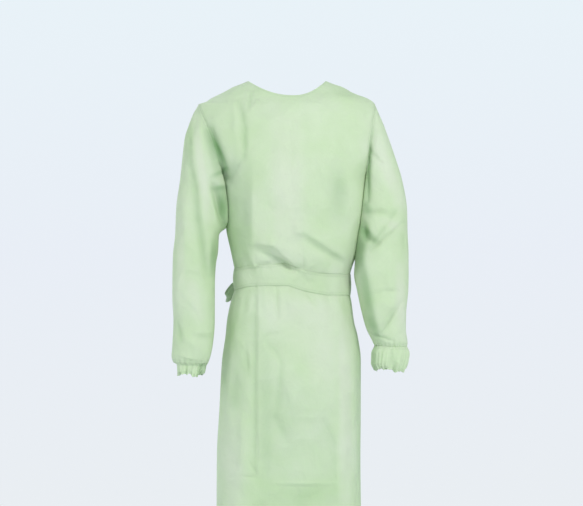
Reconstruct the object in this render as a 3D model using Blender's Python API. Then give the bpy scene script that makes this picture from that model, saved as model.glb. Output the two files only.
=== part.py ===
"""Isolation gown, worn and filled out with no wearer in it.

Metres, +Z up. The front faces -Y, and left and right are as seen from the front, so left is at -X.
The origin is where the wearer's shoulders hold the gown, midway between the two side-neck points.
Each piece of cloth is a closed wall. Its outer points come from rings worked out from the tables below,
and its inner points lie one wall inside them.
"""

import math

import bpy
import numpy as np

MM = 0.001
WALL = 1.6 * MM
SEAM = 0.3 * MM
LAP_GAP = 0.6 * MM  # between the two back panels where they overlap
FRONT, BACK = -1, 1
LEFT, RIGHT = -1, 1

# Body of the gown, in millimetres
NECK_LEFT, NECK_RIGHT = 94, 89  # side-neck points from the middle
NECK_LOWEST = 12  # where the front neckline is lowest, from the middle
NECK_DROP = {FRONT: 38, BACK: 50}
NECK_CURVE = {(FRONT, LEFT): 2.1, (FRONT, RIGHT): 2.2, (BACK, LEFT): 1.9, (BACK, RIGHT): 1.9}  # 1 is straight
NECK_SHARE = 0.45  # share of a panel's half width that ends at the neck
SHOULDER = -56
UNDERARM = -232
ROUNDNESS = 2.3  # 2 is an ellipse, more is squarer
ARMHOLE_INSET = {(FRONT, LEFT): 30, (FRONT, RIGHT): 23, (BACK, LEFT): 20, (BACK, RIGHT): 20}
ARMHOLE_ROUND = 0.7  # less makes the armhole's ends squarer
OVERLAP = 0.3  # share of the half width that each back panel passes the centre back by
LAP_RAMP = (0.48, 0.34)  # shares between which the outer back panel climbs over the inner one

# Height, half widths left and right, and depths to the front and the back of each ring of the body
BODY_COLUMNS = "z left right front back"
BODY = [
    (0, 94, 89, 26, 32),
    (-7, 110, 106, 34, 40),
    (-14, 128, 127, 42, 48),
    (-21, 141, 140, 50, 56),
    (-28, 154, 152, 57, 63),
    (-42, 182, 188, 70, 77),
    (-49, 192, 199, 76, 83),
    (-56, 211, 205, 82, 88),
    (-80, 217, 214, 97, 101),
    (-110, 214, 216, 110, 110),
    (-150, 204, 212, 121, 116),
    (-190, 186, 203, 128, 118),
    (-232, 160, 190, 131, 117),
    (-280, 151, 187, 132, 115),
    (-350, 145, 177, 130, 111),
    (-400, 135, 163, 127, 107),
    (-430, 129, 151, 120, 102),
    (-447, 126, 146, 108, 97),
    (-472, 125, 144, 104, 94),
    (-497, 126, 146, 106, 96),
    (-514, 132, 149, 114, 103),
    (-562, 143, 155, 122, 116),
    (-600, 147, 164, 126, 122),
    (-656, 155, 171, 131, 129),
    (-768, 161, 171, 137, 136),
    (-881, 167, 170, 141, 141),
    (-1040, 168, 172, 145, 145),
    (-1160, 173, 175, 149, 150),
]
# Heights of the panels' rows below the underarm: those at the belt's edges are among them
ROW_STEPS = [(-232, 0), (-430, 9), (-447, 1), (-497, 3), (-514, 1), (-650, 6), (-1160, 13)]
TOP_ROWS = 10
NECK_CELLS, SHOULDER_CELLS = 6, 7  # on each half of the front panel
BACK_NECK_CELLS, BACK_SHOULDER_CELLS = 3, 4

# Belt: height of its middle across the front, and its width
BELT_MIDDLE = -472
BELT_COLUMNS = "x z"
BELT_LINE = [(-130, -466), (-75, -454), (-10, -453), (35, -465), (80, -475), (143, -479)]
BELT_TOP, BELT_BOTTOM = -447, -497
BELT_REACH = 85  # how far above and below the waist the rows bend with the belt
BELT_GAP = (-0.50, -0.46)  # the belt's two ends under the knot, as shares of the half width

# Soft folds as seen from the front: start x and z, end x and z, half width and height; a trough's is negative
FRONT_FOLDS = [
    (-120, -40, -106, -105, 11, -4),
    (-106, -105, -97, -172, 11, -5),
    (-97, -172, -128, -228, 12, -4),
    (-84, -216, -82, -370, 20, 6),
    (-82, -370, -118, -430, 16, 4),
    (22, -362, 132, -412, 13, -6),
    (25, -340, 104, -378, 14, 4),
    (-75, -374, 34, -446, 13, -8),
    (-60, -352, 40, -415, 14, 5),
    (-73, -505, -73, -925, 10, 5),
    (-92, -520, -90, -930, 15, -4),
    (152, -620, 152, -985, 12, -4),
    (-47, -609, -14, -710, 18, -5),
    (-14, -710, -19, -800, 18, -5),
    (-19, -800, 10, -890, 18, -4),
    (60, -640, 40, -800, 26, 5),
    (-30, -500, -28, -560, 10, -4),
    (20, -497, 66, -552, 11, -4),
    (-22, -944, 112, -944, 12, -4),
]
BACK_FOLDS = [
    (-70, -70, -95, -220, 14, -4),
    (84, -75, 100, -225, 14, -4),
    (-90, -330, 30, -425, 15, -6),
    (110, -320, 40, -430, 15, -5),
    (-40, -520, -62, -900, 18, -5),
    (75, -520, 92, -980, 20, -5),
    (130, -600, 138, -1050, 18, 4),
    (-120, -600, -128, -1000, 18, 4),
]
LEFT_SLEEVE_FOLDS = [
    (-218, -80, -231, -193, 13, -5),
    (-231, -193, -214, -290, 13, -5),
    (-214, -290, -193, -452, 12, -5),
    (-178, -150, -152, -212, 14, -6),
    (-246, -452, -212, -462, 13, 4),
    (-222, -530, -206, -570, 11, -4),
]
RIGHT_SLEEVE_FOLDS = [
    (181, -170, 222, -195, 12, -5),
    (181, -304, 216, -310, 11, -4),
    (258, -296, 190, -392, 11, -6),
    (246, -330, 206, -388, 9, 4),
    (204, -494, 262, -496, 12, -4),
    (268, -520, 221, -590, 11, -6),
    (226, -500, 236, -560, 12, 4),
]
SLEEVE_BACK_FOLDS = [  # at the back of both elbows, given on the right side
    (205, -330, 262, -372, 13, -5),
    (205, -400, 268, -405, 12, -5),
    (200, -470, 262, -440, 13, -4),
    (210, -560, 262, -530, 12, -4),
]
FOLD_FADE = 0.45  # what is left of a fold's height at its ends

# Gathers that the belt draws into the waist
GATHERS = 26
GATHER_HEIGHT = 2.2
GATHER_REACH = 62
GATHER_SLEW = (3, 1.7)  # waves of uneven spacing round the waist, and how uneven
GATHER_DEPTH = (5, 0.3)  # waves of uneven depth round the waist, and how uneven

# Sleeves: the ring's outer and inner points, the middle's place in depth, and its half depth
SLEEVE_COLUMNS = "outer_x outer_z inner_x inner_z middle_y half_depth"
LEFT_SLEEVE = [
    (-211, -56, -160, -232, 0, 71),
    (-224, -80, -144, -242, -2, 72),
    (-233, -105, -134, -256, -5, 71),
    (-242, -135, -128, -274, -9, 71),
    (-247, -180, -128, -300, -15, 70),
    (-252, -230, -132, -330, -22, 67),
    (-261, -300, -154, -365, -30, 62),
    (-263, -360, -163, -400, -36, 60),
    (-268, -411, -168, -432, -41, 58),
    (-269, -468, -170, -470, -46, 56),
    (-269, -505, -170, -505, -50, 55),
    (-266, -562, -170, -562, -56, 52),
    (-268, -614, -174, -614, -62, 48),
    (-269, -641, -180, -643, -65, 44),
    (-265, -656, -186, -659, -66, 37),
]
RIGHT_SLEEVE = [
    (205, -56, 190, -232, 0, 71),
    (214, -78, 180, -243, -1, 71),
    (223, -100, 172, -258, -4, 71),
    (234, -130, 166, -276, -8, 70),
    (251, -180, 162, -300, -14, 69),
    (266, -230, 160, -330, -20, 68),
    (278, -300, 156, -360, -28, 66),
    (279, -355, 157, -395, -34, 64),
    (281, -405, 156, -425, -38, 62),
    (281, -449, 154, -455, -42, 61),
    (280, -490, 161, -492, -46, 58),
    (275, -540, 171, -540, -51, 54),
    (274, -580, 182, -580, -56, 50),
    (277, -608, 194, -604, -60, 44),
    (275, -620, 201, -618, -61, 37),
]
ARMHOLE_BLEND = 3.0  # stations over which the armhole's own curve turns into the sleeve's rings
SLEEVE_ROWS = 24
CLEAR_AT_UNDERARM, CLEAR_BELOW = 4.0, 2.4  # between a sleeve and the body that it lies against
CLEAR_FADE = 60  # height over which the first clearance narrows to the second
ARMHOLE_FLOOR = 16  # height above the underarm up to which the armhole's edge runs nearly level

# Cuffs: rings as on the sleeves, with the gathers' height
CUFF_COLUMNS = SLEEVE_COLUMNS + " wave"
LEFT_CUFF = [
    (-265, -656, -186, -659, -66, 37, 0),
    (-257, -663, -190, -667, -66, 31, 2),
    (-255, -674, -193, -677, -66, 32, 4),
    (-254, -684, -196, -685, -66, 34, 6),
]
RIGHT_CUFF = [
    (275, -620, 201, -618, -61, 37, 0),
    (280, -636, 193, -636, -61, 41, 2),
    (276, -658, 193, -657, -62, 38, 3),
    (268, -676, 202, -673, -62, 33, 5),
]
CUFF_WAVES = 10
CUFF_ROWS = 5
CUFF_SPLIT = 2  # cuff points for each of the sleeve's

# Ties
TIE_WALL = 1.6
KNOT_HALF = (14, 8, 16)
KNOT_END = 0.94  # share of its half height at which a knot is cut flat, where its ends come out
TIE_SEAT = 0.15  # between the belt and its knot
SLANT_SEAT = 1.4  # below the belt's knot and above its slanting ends
LOOP_WIDTHS = (16, 23, 19, 19, 23, 16)
TAIL_WIDTHS = (14, 30, 30, 30)
LOOP_POINTS = 22
ENDS_APART = 6  # from the belt's knot's middle to each hanging end's
LONG_END_LIFT, SHORT_END_LIFT = 8, 15  # their middles above the back's rings
SHORT_END_STEP = 2.5  # how far the short end starts outside the long one
# The bow's loops from the knot's middle: along the belt towards the right, out from it, and up
LEFT_LOOP = [
    (-15, 2, -3),
    (-30, 7, -13),
    (-46, 13, -31),
    (-54, 13, -41),
    (-55, 8, -43),
    (-48, 5, -35),
    (-29, 1, -17),
    (-15, -2, -7),
]
RIGHT_LOOP = [
    (14, 3, -3),
    (40, 7, -13),
    (64, 5, -26),
    (76, -2, -32),
    (73, -8, -33),
    (58, -5, -27),
    (36, 0, -16),
    (14, -2, -7),
]
# How far each hanging end has gone sideways and down at a few places
LONG_END = [(2, 30), (8, 75), (16, 130), (19, 190), (24, 255)]
SHORT_END = [(10, 30), (20, 70), (26, 115), (36, 170)]
NECK_LONG_END = [(4, 25), (12, 65), (15, 110), (22, 160)]
NECK_SHORT_END = [(6, 22), (15, 55), (20, 95), (30, 125)]
NECK_TIE_LIFT = 6  # the neck ties' middles above the back's rings
NECK_KNOT_PLACE = (50, -58)
NECK_KNOT_LIFT = 8.3
NECK_KNOT_HALF = (8, 5, 8)
NECK_TIE_WIDTHS = (8, 12, 12)
NECK_ENDS_APART = 4.2  # from the knot's middle to each end's
NECK_END_STEP = 0.5  # how far the ends start outside the knot's middle
NECK_SEAT = 0.7  # between the neck's knot and its ends
PATH_POINTS, NECK_PATH_POINTS = 14, 10

GREEN = (0.60, 0.76, 0.54, 1.0)
TIE_GREEN = (0.56, 0.72, 0.50, 1.0)
CLOTH_ROUGHNESS = 0.85


# ---------------------------------------------------------------- tables, curves and folds


def columns(names, rows):
    """A table's columns by name, in metres."""
    return dict(zip(names.split(), np.array(rows, float).T * MM))


def smooth(places, values, at):
    """A curve through a table's rows that rounds their corners and never overshoots them."""
    order = np.argsort(places)
    p, v = np.asarray(places)[order], np.asarray(values)[order]
    slope = np.diff(v) / np.diff(p)
    before, after = slope[:-1], slope[1:]
    same_way = before * after > 0
    total = np.where(same_way, before + after, 1.0)
    bend = np.where(same_way, 2 * before * after / total, 0.0)
    tangent = np.concatenate([slope[:1], bend, slope[-1:]])
    at = np.clip(at, p[0], p[-1])
    i = np.clip(np.searchsorted(p, at) - 1, 0, len(p) - 2)
    step = p[i + 1] - p[i]
    f = (at - p[i]) / step
    start = (1 + 2 * f) * (1 - f) ** 2 * v[i] + f * (1 - f) ** 2 * step * tangent[i]
    end = f**2 * (3 - 2 * f) * v[i + 1] + f**2 * (f - 1) * step * tangent[i + 1]
    return start + end


def ease(f):
    """0 to 1 with a soft start and end."""
    f = np.clip(f, 0, 1)
    return f * f * (3 - 2 * f)


def fold_height(folds, x, z):
    """How far the soft ridges and troughs of a table move the cloth, by its place seen from the front."""
    height = np.zeros_like(x)
    for x0, z0, x1, z1, width, most in np.array(folds, float) * MM:
        run = (x1 - x0) ** 2 + (z1 - z0) ** 2
        along = np.clip(((x - x0) * (x1 - x0) + (z - z0) * (z1 - z0)) / run, 0, 1)
        away = (x - x0 - along * (x1 - x0)) ** 2 + (z - z0 - along * (z1 - z0)) ** 2
        fade = FOLD_FADE + (1 - FOLD_FADE) * np.sin(math.pi * along)
        height += most * fade * np.exp(-away / width**2)
    return height


def unit(vectors):
    return vectors / np.maximum(np.linalg.norm(vectors, axis=-1, keepdims=True), 1e-12)


def grid_normals(grid, ring):
    """Outward directions on a grid whose columns run left to right seen from outside. ring: it closes on itself."""
    down = np.gradient(grid, axis=0)
    if ring:
        across = np.roll(grid, -1, axis=1) - np.roll(grid, 1, axis=1)
    else:
        across = np.gradient(grid, axis=1)
    return unit(np.cross(down, across))


# ---------------------------------------------------------------- the body's rings and panels


BODY_SIZES = columns(BODY_COLUMNS, BODY)
BELT_SIZES = columns(BELT_COLUMNS, BELT_LINE)


def body_size(name, z):
    return smooth(BODY_SIZES["z"], BODY_SIZES[name], z)


def body_ring(z, side):
    """Middle, half width and depth of the ring at a height."""
    left, right = body_size("left", z), body_size("right", z)
    return (right - left) / 2, (right + left) / 2, body_size("front" if side == FRONT else "back", z)


def body_depth(x, z, side):
    """Where the body's surface lies in depth at a place seen from the front."""
    middle, half, depth = body_ring(z, side)
    share = np.clip(np.abs(x - middle) / half, 0, 1)
    return side * depth * (1 - share**ROUNDNESS) ** (1 / ROUNDNESS)


def shoulder_height(x):
    """Height of the shoulder's ridge over a place across."""
    heights = np.linspace(SHOULDER, 0, 57) * MM
    left = np.interp(-x, body_size("left", heights)[::-1], heights[::-1])
    right = np.interp(x, body_size("right", heights)[::-1], heights[::-1])
    return np.where(x < 0, left, right)


def body_edge(z, hand):
    """The body's widest place on one hand, across."""
    return hand * body_size("left" if hand == LEFT else "right", z)


def armhole(z, side, hand):
    """Where the armhole's edge lies across, between the shoulder point and the underarm point."""
    down = np.clip((SHOULDER * MM - z) / ((SHOULDER - UNDERARM) * MM), 0, 1)
    inset = ARMHOLE_INSET[side, hand] * MM * np.sin(math.pi * down) ** ARMHOLE_ROUND
    return body_edge(z, hand) - hand * inset


def top_edge(share, side):
    """A panel's top edge, along the neck and the shoulder, by the share of its half width."""
    corner = NECK_SHARE
    neck = np.interp(share, [-corner, corner], [-NECK_LEFT * MM, NECK_RIGHT * MM])
    lowest = NECK_LOWEST * MM if side == FRONT else 0.0
    reach = np.where(neck < lowest, lowest + NECK_LEFT * MM, NECK_RIGHT * MM - lowest)
    curve = np.where(neck < lowest, NECK_CURVE[side, LEFT], NECK_CURVE[side, RIGHT])
    drop = -NECK_DROP[side] * MM * (1 - np.clip(np.abs(neck - lowest) / reach, 0, 1) ** curve)
    out = (np.abs(share) - corner) / (1 - corner)
    left = np.interp(out, [0, 1], [-NECK_LEFT * MM, body_edge(SHOULDER * MM, LEFT)])
    right = np.interp(out, [0, 1], [NECK_RIGHT * MM, body_edge(SHOULDER * MM, RIGHT)])
    shoulder = np.where(share < 0, left, right)
    at_neck = np.abs(share) <= corner
    return np.where(at_neck, neck, shoulder), np.where(at_neck, drop, shoulder_height(shoulder))


def belt_bend(x, z, side):
    """How far a row at a height bends up or down to lie along the belt."""
    middle = BELT_MIDDLE * MM
    if side == FRONT:
        line = smooth(BELT_SIZES["x"], BELT_SIZES["z"], x) - middle
    else:
        ends = BELT_SIZES["x"][[0, -1]]
        line = np.interp(x, ends, BELT_SIZES["z"][[0, -1]] - middle)
    return line * np.exp(-(((z - middle) / (BELT_REACH * MM)) ** 2))


def row_heights(steps):
    """Heights of a panel's rows from the underarm down."""
    heights = [steps[0][0]]
    for height, count in steps[1:]:
        heights += list(np.linspace(heights[-1], height, count + 1)[1:])
    return np.array(heights) * MM


def gather_height(angle, z):
    """The belt's gathers: uneven waves round the waist that die out above and below it."""
    slews, slew = GATHER_SLEW
    depths, depth = GATHER_DEPTH
    wave = np.sin(GATHERS * angle + slew * np.sin(slews * angle)) * (1 - depth + depth * np.sin(depths * angle + 1))
    off_belt = np.maximum(np.abs(z - BELT_MIDDLE * MM) - (BELT_TOP - BELT_MIDDLE) * MM, 0)
    reach = GATHER_REACH * MM
    return GATHER_HEIGHT * MM * wave * ease(off_belt / (0.3 * reach)) * np.exp(-((off_belt / reach) ** 2))


def panel_base(side, shares):
    """Outer points of a body panel before its folds. The first row is the neck and shoulder, the last the hem."""
    hand = np.sign(shares)
    turn = np.abs(shares) * math.pi / 2
    top_x, top_z = top_edge(shares, side)
    ring_x = hand * np.sin(turn) ** (2 / ROUNDNESS)
    ring_y = side * np.clip(np.cos(turn), 0, 1) ** (2 / ROUNDNESS)
    rows = []
    middle, half, _ = body_ring(UNDERARM * MM, side)
    foot_x = middle + half * ring_x
    for i in range(TOP_ROWS):
        f = (1 - math.cos(math.pi * i / TOP_ROWS)) / 2
        z = top_z + (UNDERARM * MM - top_z) * f
        x = top_x + (foot_x - top_x) * f
        for edge in (LEFT, RIGHT):
            edge_z = (SHOULDER + (UNDERARM - SHOULDER) * f) * MM
            edge_x = body_edge(SHOULDER * MM, edge) * (1 - f) + body_edge(UNDERARM * MM, edge) * f
            bow = armhole(edge_z, side, edge) - edge_x
            x = x + np.where(hand == edge, bow * np.abs(shares) ** 3, 0)
        rows.append(np.stack([x, body_depth(x, z, side), z], axis=1))
    for z in row_heights(ROW_STEPS):
        middle, half, depth = body_ring(z, side)
        x = middle + half * ring_x
        rows.append(np.stack([x, depth * ring_y, z + belt_bend(x, z, side)], axis=1))
    return np.array(rows)


def panel_outer(side, shares, folds):
    """Outer points of a body panel with its folds and gathers."""
    grid = panel_base(side, shares)
    normals = grid_normals(grid, ring=False)
    x, y, z = np.moveaxis(grid, 2, 0)
    inside = 1 - np.abs(shares)[None, :] ** 6
    angle = np.arctan2(y, x)
    height = fold_height(folds, x, z) * inside + gather_height(angle, z) * inside
    settle = ease(np.arange(len(grid)) / 3)[:, None]  # the top edge stays in its seam
    return grid + normals * (height * settle)[..., None]


def lap_over(grid, shares):
    """The outer back panel, moved out where it lies on the inner one."""
    start, end = LAP_RAMP
    lift = (WALL + LAP_GAP) * ease((shares + start) / (start - end))
    return grid + grid_normals(grid, ring=False) * lift[None, :, None]


def half_shares(neck_cells, shoulder_cells):
    """Shares of a panel's half width from the middle to the side, with a column at the side-neck point."""
    neck = np.linspace(0, NECK_SHARE, neck_cells + 1)
    return np.concatenate([neck, np.linspace(NECK_SHARE, 1, shoulder_cells + 1)[1:]])


def panel_shares(side, hand=0):
    """A panel's columns, in order from left to right seen from outside."""
    if side == FRONT:
        half = half_shares(NECK_CELLS, SHOULDER_CELLS)
        return np.concatenate([-half[:0:-1], half])
    half = half_shares(BACK_NECK_CELLS, BACK_SHOULDER_CELLS)
    lap = half[(half > 0) & (half <= OVERLAP + 1e-9)]
    shares = np.concatenate([-lap[::-1], half])
    return shares[::-1] if hand == RIGHT else -shares


def panel_points(side, hand=0):
    """Outer and inner points of a body panel, kept on its own side of the shoulder and side seams."""
    shares = panel_shares(side, hand)
    outer = panel_outer(side, shares, FRONT_FOLDS if side == FRONT else BACK_FOLDS)
    if (side, hand) == (BACK, LEFT):
        outer = lap_over(outer, shares)
    inner = outer - grid_normals(outer, ring=False) * WALL
    for grid in (outer, inner):
        grid[..., 1] = side * np.maximum(side * grid[..., 1], SEAM / 2)
    return outer, inner


# ---------------------------------------------------------------- sleeves and cuffs


def ring_points(sizes, stations, turns, hand):
    """Rings worked out from a table at places between its rows, with a point at each turn round them."""
    at = np.arange(len(sizes["outer_x"]))
    row = {name: smooth(at, column, stations)[:, None] for name, column in sizes.items()}
    across, deep = np.cos(turns), np.sin(turns)
    across = np.sign(across) * np.abs(across) ** (2 / ROUNDNESS)
    deep = hand * np.sign(deep) * np.abs(deep) ** (2 / ROUNDNESS)
    middle_x, half_x = (row["outer_x"] + row["inner_x"]) / 2, (row["outer_x"] - row["inner_x"]) / 2
    middle_z, half_z = (row["outer_z"] + row["inner_z"]) / 2, (row["outer_z"] - row["inner_z"]) / 2
    y = row["middle_y"] + row["half_depth"] * deep
    return np.stack([middle_x + half_x * across, y, middle_z + half_z * across], axis=2)


def armhole_frame(front, back, hand):
    """The armhole's edge from the shoulder round to it again: outer points, their normals and the way off it."""
    column_front, column_back = (0, -1) if hand == LEFT else (-1, 0)
    rows = slice(0, TOP_ROWS + 1)
    edge_front, edge_back = front[0][rows, column_front], back[0][rows, column_back]
    normal_front = unit(edge_front - front[1][rows, column_front])
    normal_back = unit(edge_back - back[1][rows, column_back])
    ends = (edge_front[[0, -1]] + edge_back[[0, -1]]) / 2
    end_normals = unit(normal_front[[0, -1]] + normal_back[[0, -1]])
    first, second = (edge_front, edge_back) if hand == LEFT else (edge_back, edge_front)
    n_first, n_second = (normal_front, normal_back) if hand == LEFT else (normal_back, normal_front)
    points = np.concatenate([ends[:1], first[1:-1], ends[1:], second[-2:0:-1]])
    normals = np.concatenate([end_normals[:1], n_first[1:-1], end_normals[1:], n_second[-2:0:-1]])
    along = np.roll(points, -1, axis=0) - np.roll(points, 1, axis=0)
    return points, normals, unit(np.cross(along, normals))


def clear_of_body(points):
    """Points of a sleeve, pushed out across until they are just clear of the body."""
    x, y, z = np.moveaxis(points, -1, 0)
    hand = np.sign(x)
    below = z < (UNDERARM + ARMHOLE_FLOOR) * MM
    narrowing = ease((UNDERARM * MM - z) / (CLEAR_FADE * MM))
    clear = (CLEAR_AT_UNDERARM + (CLEAR_BELOW - CLEAR_AT_UNDERARM) * narrowing) * MM
    for side in (FRONT, BACK):
        middle, half, depth = body_ring(z, side)
        share = np.clip(np.abs(y) / depth, 0, 1)
        reach = half * (1 - share**ROUNDNESS) ** (1 / ROUNDNESS) + clear
        limit = middle + hand * reach
        inside = below & (y * side >= 0) & (hand * x < hand * limit)
        x = np.where(inside, limit, x)
    return np.stack([x, y, z], axis=-1)


def sleeve_points(table, folds, front, back, hand):
    """Outer and inner points of a sleeve, from the armhole to the gathered wrist."""
    sizes = columns(SLEEVE_COLUMNS, table)
    stations = (len(table) - 1) * np.linspace(0, 1, SLEEVE_ROWS + 1) ** 1.05
    turns = np.linspace(0, 2 * math.pi, 2 * TOP_ROWS, endpoint=False)
    outer = ring_points(sizes, stations, turns, hand)
    edge, edge_normals, off_edge = armhole_frame(front, back, hand)
    start = edge + (off_edge + edge_normals) * SEAM * 0.8
    blend = np.clip(1 - stations / ARMHOLE_BLEND, 0, 1)[:, None, None] ** 2
    outer = outer + (start - outer[0]) * blend
    normals = grid_normals(outer, ring=True)
    x, y, z = np.moveaxis(outer, 2, 0)
    facing = -normals[..., 1]
    mirrored = [(x0 * hand, z0, x1 * hand, z1, w, h) for x0, z0, x1, z1, w, h in SLEEVE_BACK_FOLDS]
    height = fold_height(folds, x, z) * ease(facing * 2) + fold_height(mirrored, x, z) * ease(-facing * 2)
    settle = ease(np.minimum(stations, stations[-1] - stations))[:, None]
    outer = outer + normals * (height * settle)[..., None]
    outer[1:] = clear_of_body(outer[1:])
    normals = grid_normals(outer, ring=True)
    into_panel = np.maximum((normals[0] * off_edge).sum(1, keepdims=True), 0)
    normals[0] = unit(normals[0] - into_panel * off_edge)
    return outer, outer - normals * WALL


def split_ring(ring, times):
    """More points round a ring, on the straight lines between its own."""
    steps = [ring + (np.roll(ring, -1, axis=0) - ring) * k / times for k in range(times)]
    return np.stack(steps, axis=1).reshape(-1, 3)


def cuff_points(table, sleeve, hand):
    """Outer and inner points of a cuff: it starts on the sleeve's end and gathers into a ruffle."""
    sizes = columns(CUFF_COLUMNS, table)
    stations = np.linspace(0, len(table) - 1, CUFF_ROWS + 1)
    count = 2 * TOP_ROWS * CUFF_SPLIT
    turns = np.linspace(0, 2 * math.pi, count, endpoint=False)
    outer = ring_points(sizes, stations, turns, hand)
    waves = smooth(np.arange(len(table)), sizes["wave"], stations)[:, None]
    radial = unit((outer - outer.mean(axis=1, keepdims=True)) * [1, 1, 0])
    ripple = np.sin(CUFF_WAVES * turns + 0.8 * np.sin(2 * turns))
    edge_dip = 0.6 * waves * np.sin(3 * turns + hand) * (stations / stations[-1])[:, None]
    outer = outer + radial * (waves * ripple)[..., None]
    outer[..., 2] += edge_dip
    end_outer, end_inner = split_ring(sleeve[0][-1], CUFF_SPLIT), split_ring(sleeve[1][-1], CUFF_SPLIT)
    down = unit(end_outer - split_ring(sleeve[0][-2], CUFF_SPLIT)) * [0.3, 0.3, 1]
    outer[0] = end_outer + unit(down) * SEAM * 1.4
    inner = outer - grid_normals(outer, ring=True) * WALL
    inner[0] = end_inner + unit(down) * SEAM * 1.4
    return outer, inner


# ---------------------------------------------------------------- belt and ties


def belt_points(front, left_back, right_back):
    """Outer and inner points of the belt: the panels' own points at the waist, moved out."""
    first = TOP_ROWS + 1 + sum(count for height, count in ROW_STEPS[1:] if height >= BELT_TOP) - 1
    count = sum(count for height, count in ROW_STEPS if BELT_BOTTOM <= height < BELT_TOP)
    rows = slice(first, first + count + 1)
    left_shares = panel_shares(BACK, LEFT)
    base = left_back[0][rows]

    def column_at(share):
        k = np.searchsorted(-left_shares, -share) - 1
        f = (left_shares[k] - share) / (left_shares[k] - left_shares[k + 1])
        return base[:, k] * (1 - f) + base[:, k + 1] * f

    start, end = BELT_GAP
    after_gap = [column_at(start)] + [base[:, k] for k in range(len(left_shares)) if left_shares[k] < start]
    before_gap = [base[:, k] for k in range(len(left_shares)) if left_shares[k] > end] + [column_at(end)]
    over_right = [right_back[0][rows, k] for k, s in enumerate(panel_shares(BACK, RIGHT)) if s > OVERLAP + 0.01]
    path = after_gap[:-1] + list(np.moveaxis(front[0][rows], 1, 0)) + over_right[1:] + before_gap
    grid = np.stack(path, axis=1)
    normals = grid_normals(grid, ring=False)
    inner = grid + normals * (SEAM + 0.2 * MM)
    return inner + normals * WALL, inner


def path_curve(places, count):
    """Evenly numbered points on a smooth curve through a few places."""
    places = np.array(places, float) * MM
    at = np.linspace(0, len(places) - 1, count)
    i = np.minimum(at.astype(int), len(places) - 2)
    f = (at - i)[:, None]
    padded = np.concatenate([2 * places[:1] - places[1:2], places, 2 * places[-1:] - places[-2:-1]])
    a, b, c, d = (padded[i + k] for k in range(4))
    return 0.5 * (2 * b + (c - a) * f + (2 * a - 5 * b + 4 * c - d) * f**2 + (3 * b - a - 3 * c + d) * f**3)


def on_back(x, z, lift):
    """A place on the back in millimetres, a little way out from the body's rings."""
    y = body_depth(np.array(x * MM), np.array(z * MM), BACK) / MM
    return (x, float(y) + lift, z)


def upright(path):
    """The width direction of a strip that stands on edge."""
    return np.tile([0.0, 0.0, 1.0], (len(path), 1))


def along_back(path):
    """The width direction of a strip that lies on the back, level with the cloth under it."""
    step = 8 * MM
    x, z = path[:, 0], path[:, 2]
    rise = body_depth(x + step, z, BACK) - body_depth(x - step, z, BACK)
    return np.stack([np.full_like(x, 2 * step), rise, np.zeros_like(x)], axis=1)


def strip_solid(name, places, widths, lay, slot, count):
    """A flat strip of cloth along a path. lay gives the direction of its width at each point."""
    path = path_curve(places, count)
    tangent = unit(np.gradient(path, axis=0))
    wide = lay(path)
    wide = unit(wide - (tangent * wide).sum(1, keepdims=True) * tangent)
    thick = unit(np.cross(wide, tangent)) * TIE_WALL * MM / 2
    spread = np.interp(np.linspace(0, 1, count), np.linspace(0, 1, len(widths)), widths)[:, None] * MM / 2
    corners = [path + wide * spread + thick, path - wide * spread + thick]
    corners += [path - wide * spread - thick, path + wide * spread - thick]
    ring = np.stack(corners[::-1], axis=1)
    return tube_solid(name, ring, slot)


def knot_solid(name, centre, half, slot, along=(1, 0, 0)):
    """A small pulled-tight knot, as a rounded lump with a waist where the turn goes round it."""
    along = np.array(along)
    out = np.array([-along[1], along[0], 0])
    rings, around = 7, 12
    turn = np.linspace(0, 2 * math.pi, around, endpoint=False)
    rows = []
    for level in np.linspace(-KNOT_END, KNOT_END, rings):
        swell = (1 - abs(level) ** 3) ** 0.5 * (0.92 - 0.08 * math.cos(3 * math.pi * level))
        flat = np.outer(np.cos(turn) * half[0] * swell, along) + np.outer(np.sin(turn) * half[1] * swell, out)
        rows.append(flat + [0, 0, level * half[2]])
    return tube_solid(name, (np.array(rows) + centre) * MM, slot)


def knot_frame(belt):
    """The knot's middle in millimetres, seated on the belt's two ends, and the directions along and out of it."""
    middle = len(belt[0]) // 2
    first, last = belt[0][middle, 0], belt[0][middle, -1]
    along = unit((last - first) * [1, 1, 0])
    out = np.array([-along[1], along[0], 0])
    seat = (first + last) / 2 / MM
    return seat + out * (KNOT_HALF[1] + TIE_SEAT), along, out


def hanging_end(start, hand, steps, lift):
    """A tie end's route: from the knot down the back, going sideways to one hand."""
    return [start] + [on_back(start[0] + hand * s, start[2] - d, lift) for s, d in steps]


# ---------------------------------------------------------------- solids


def cloth_material(slot, colour):
    material = bpy.data.materials.get(slot)
    if material:
        return material
    material = bpy.data.materials.new(slot)
    material.use_nodes = True
    shader = material.node_tree.nodes["Principled BSDF"]
    shader.inputs["Base Color"].default_value = colour
    shader.inputs["Roughness"].default_value = CLOTH_ROUGHNESS
    shader.inputs["Metallic"].default_value = 0.0
    return material


def add_solid(name, points, faces, slot):
    mesh = bpy.data.meshes.new(name)
    mesh.from_pydata([tuple(p) for p in points], [], faces)
    mesh.shade_smooth()
    mesh.materials.append(cloth_material(slot, TIE_GREEN if slot == "tie_cloth" else GREEN))
    solid = bpy.data.objects.new(name, mesh)
    bpy.context.scene.collection.objects.link(solid)
    return solid


def grid_triangles(rows, count, ring, first=0):
    """Two triangles for each cell of a grid, facing out, cut the same way in every cell."""
    faces = []
    for i in range(rows - 1):
        for j in range(count if ring else count - 1):
            k = (j + 1) % count
            a, b = first + i * count + j, first + i * count + k
            c, d = a + count, b + count
            faces += [(a, c, d), (a, d, b)]
    return faces


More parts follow.
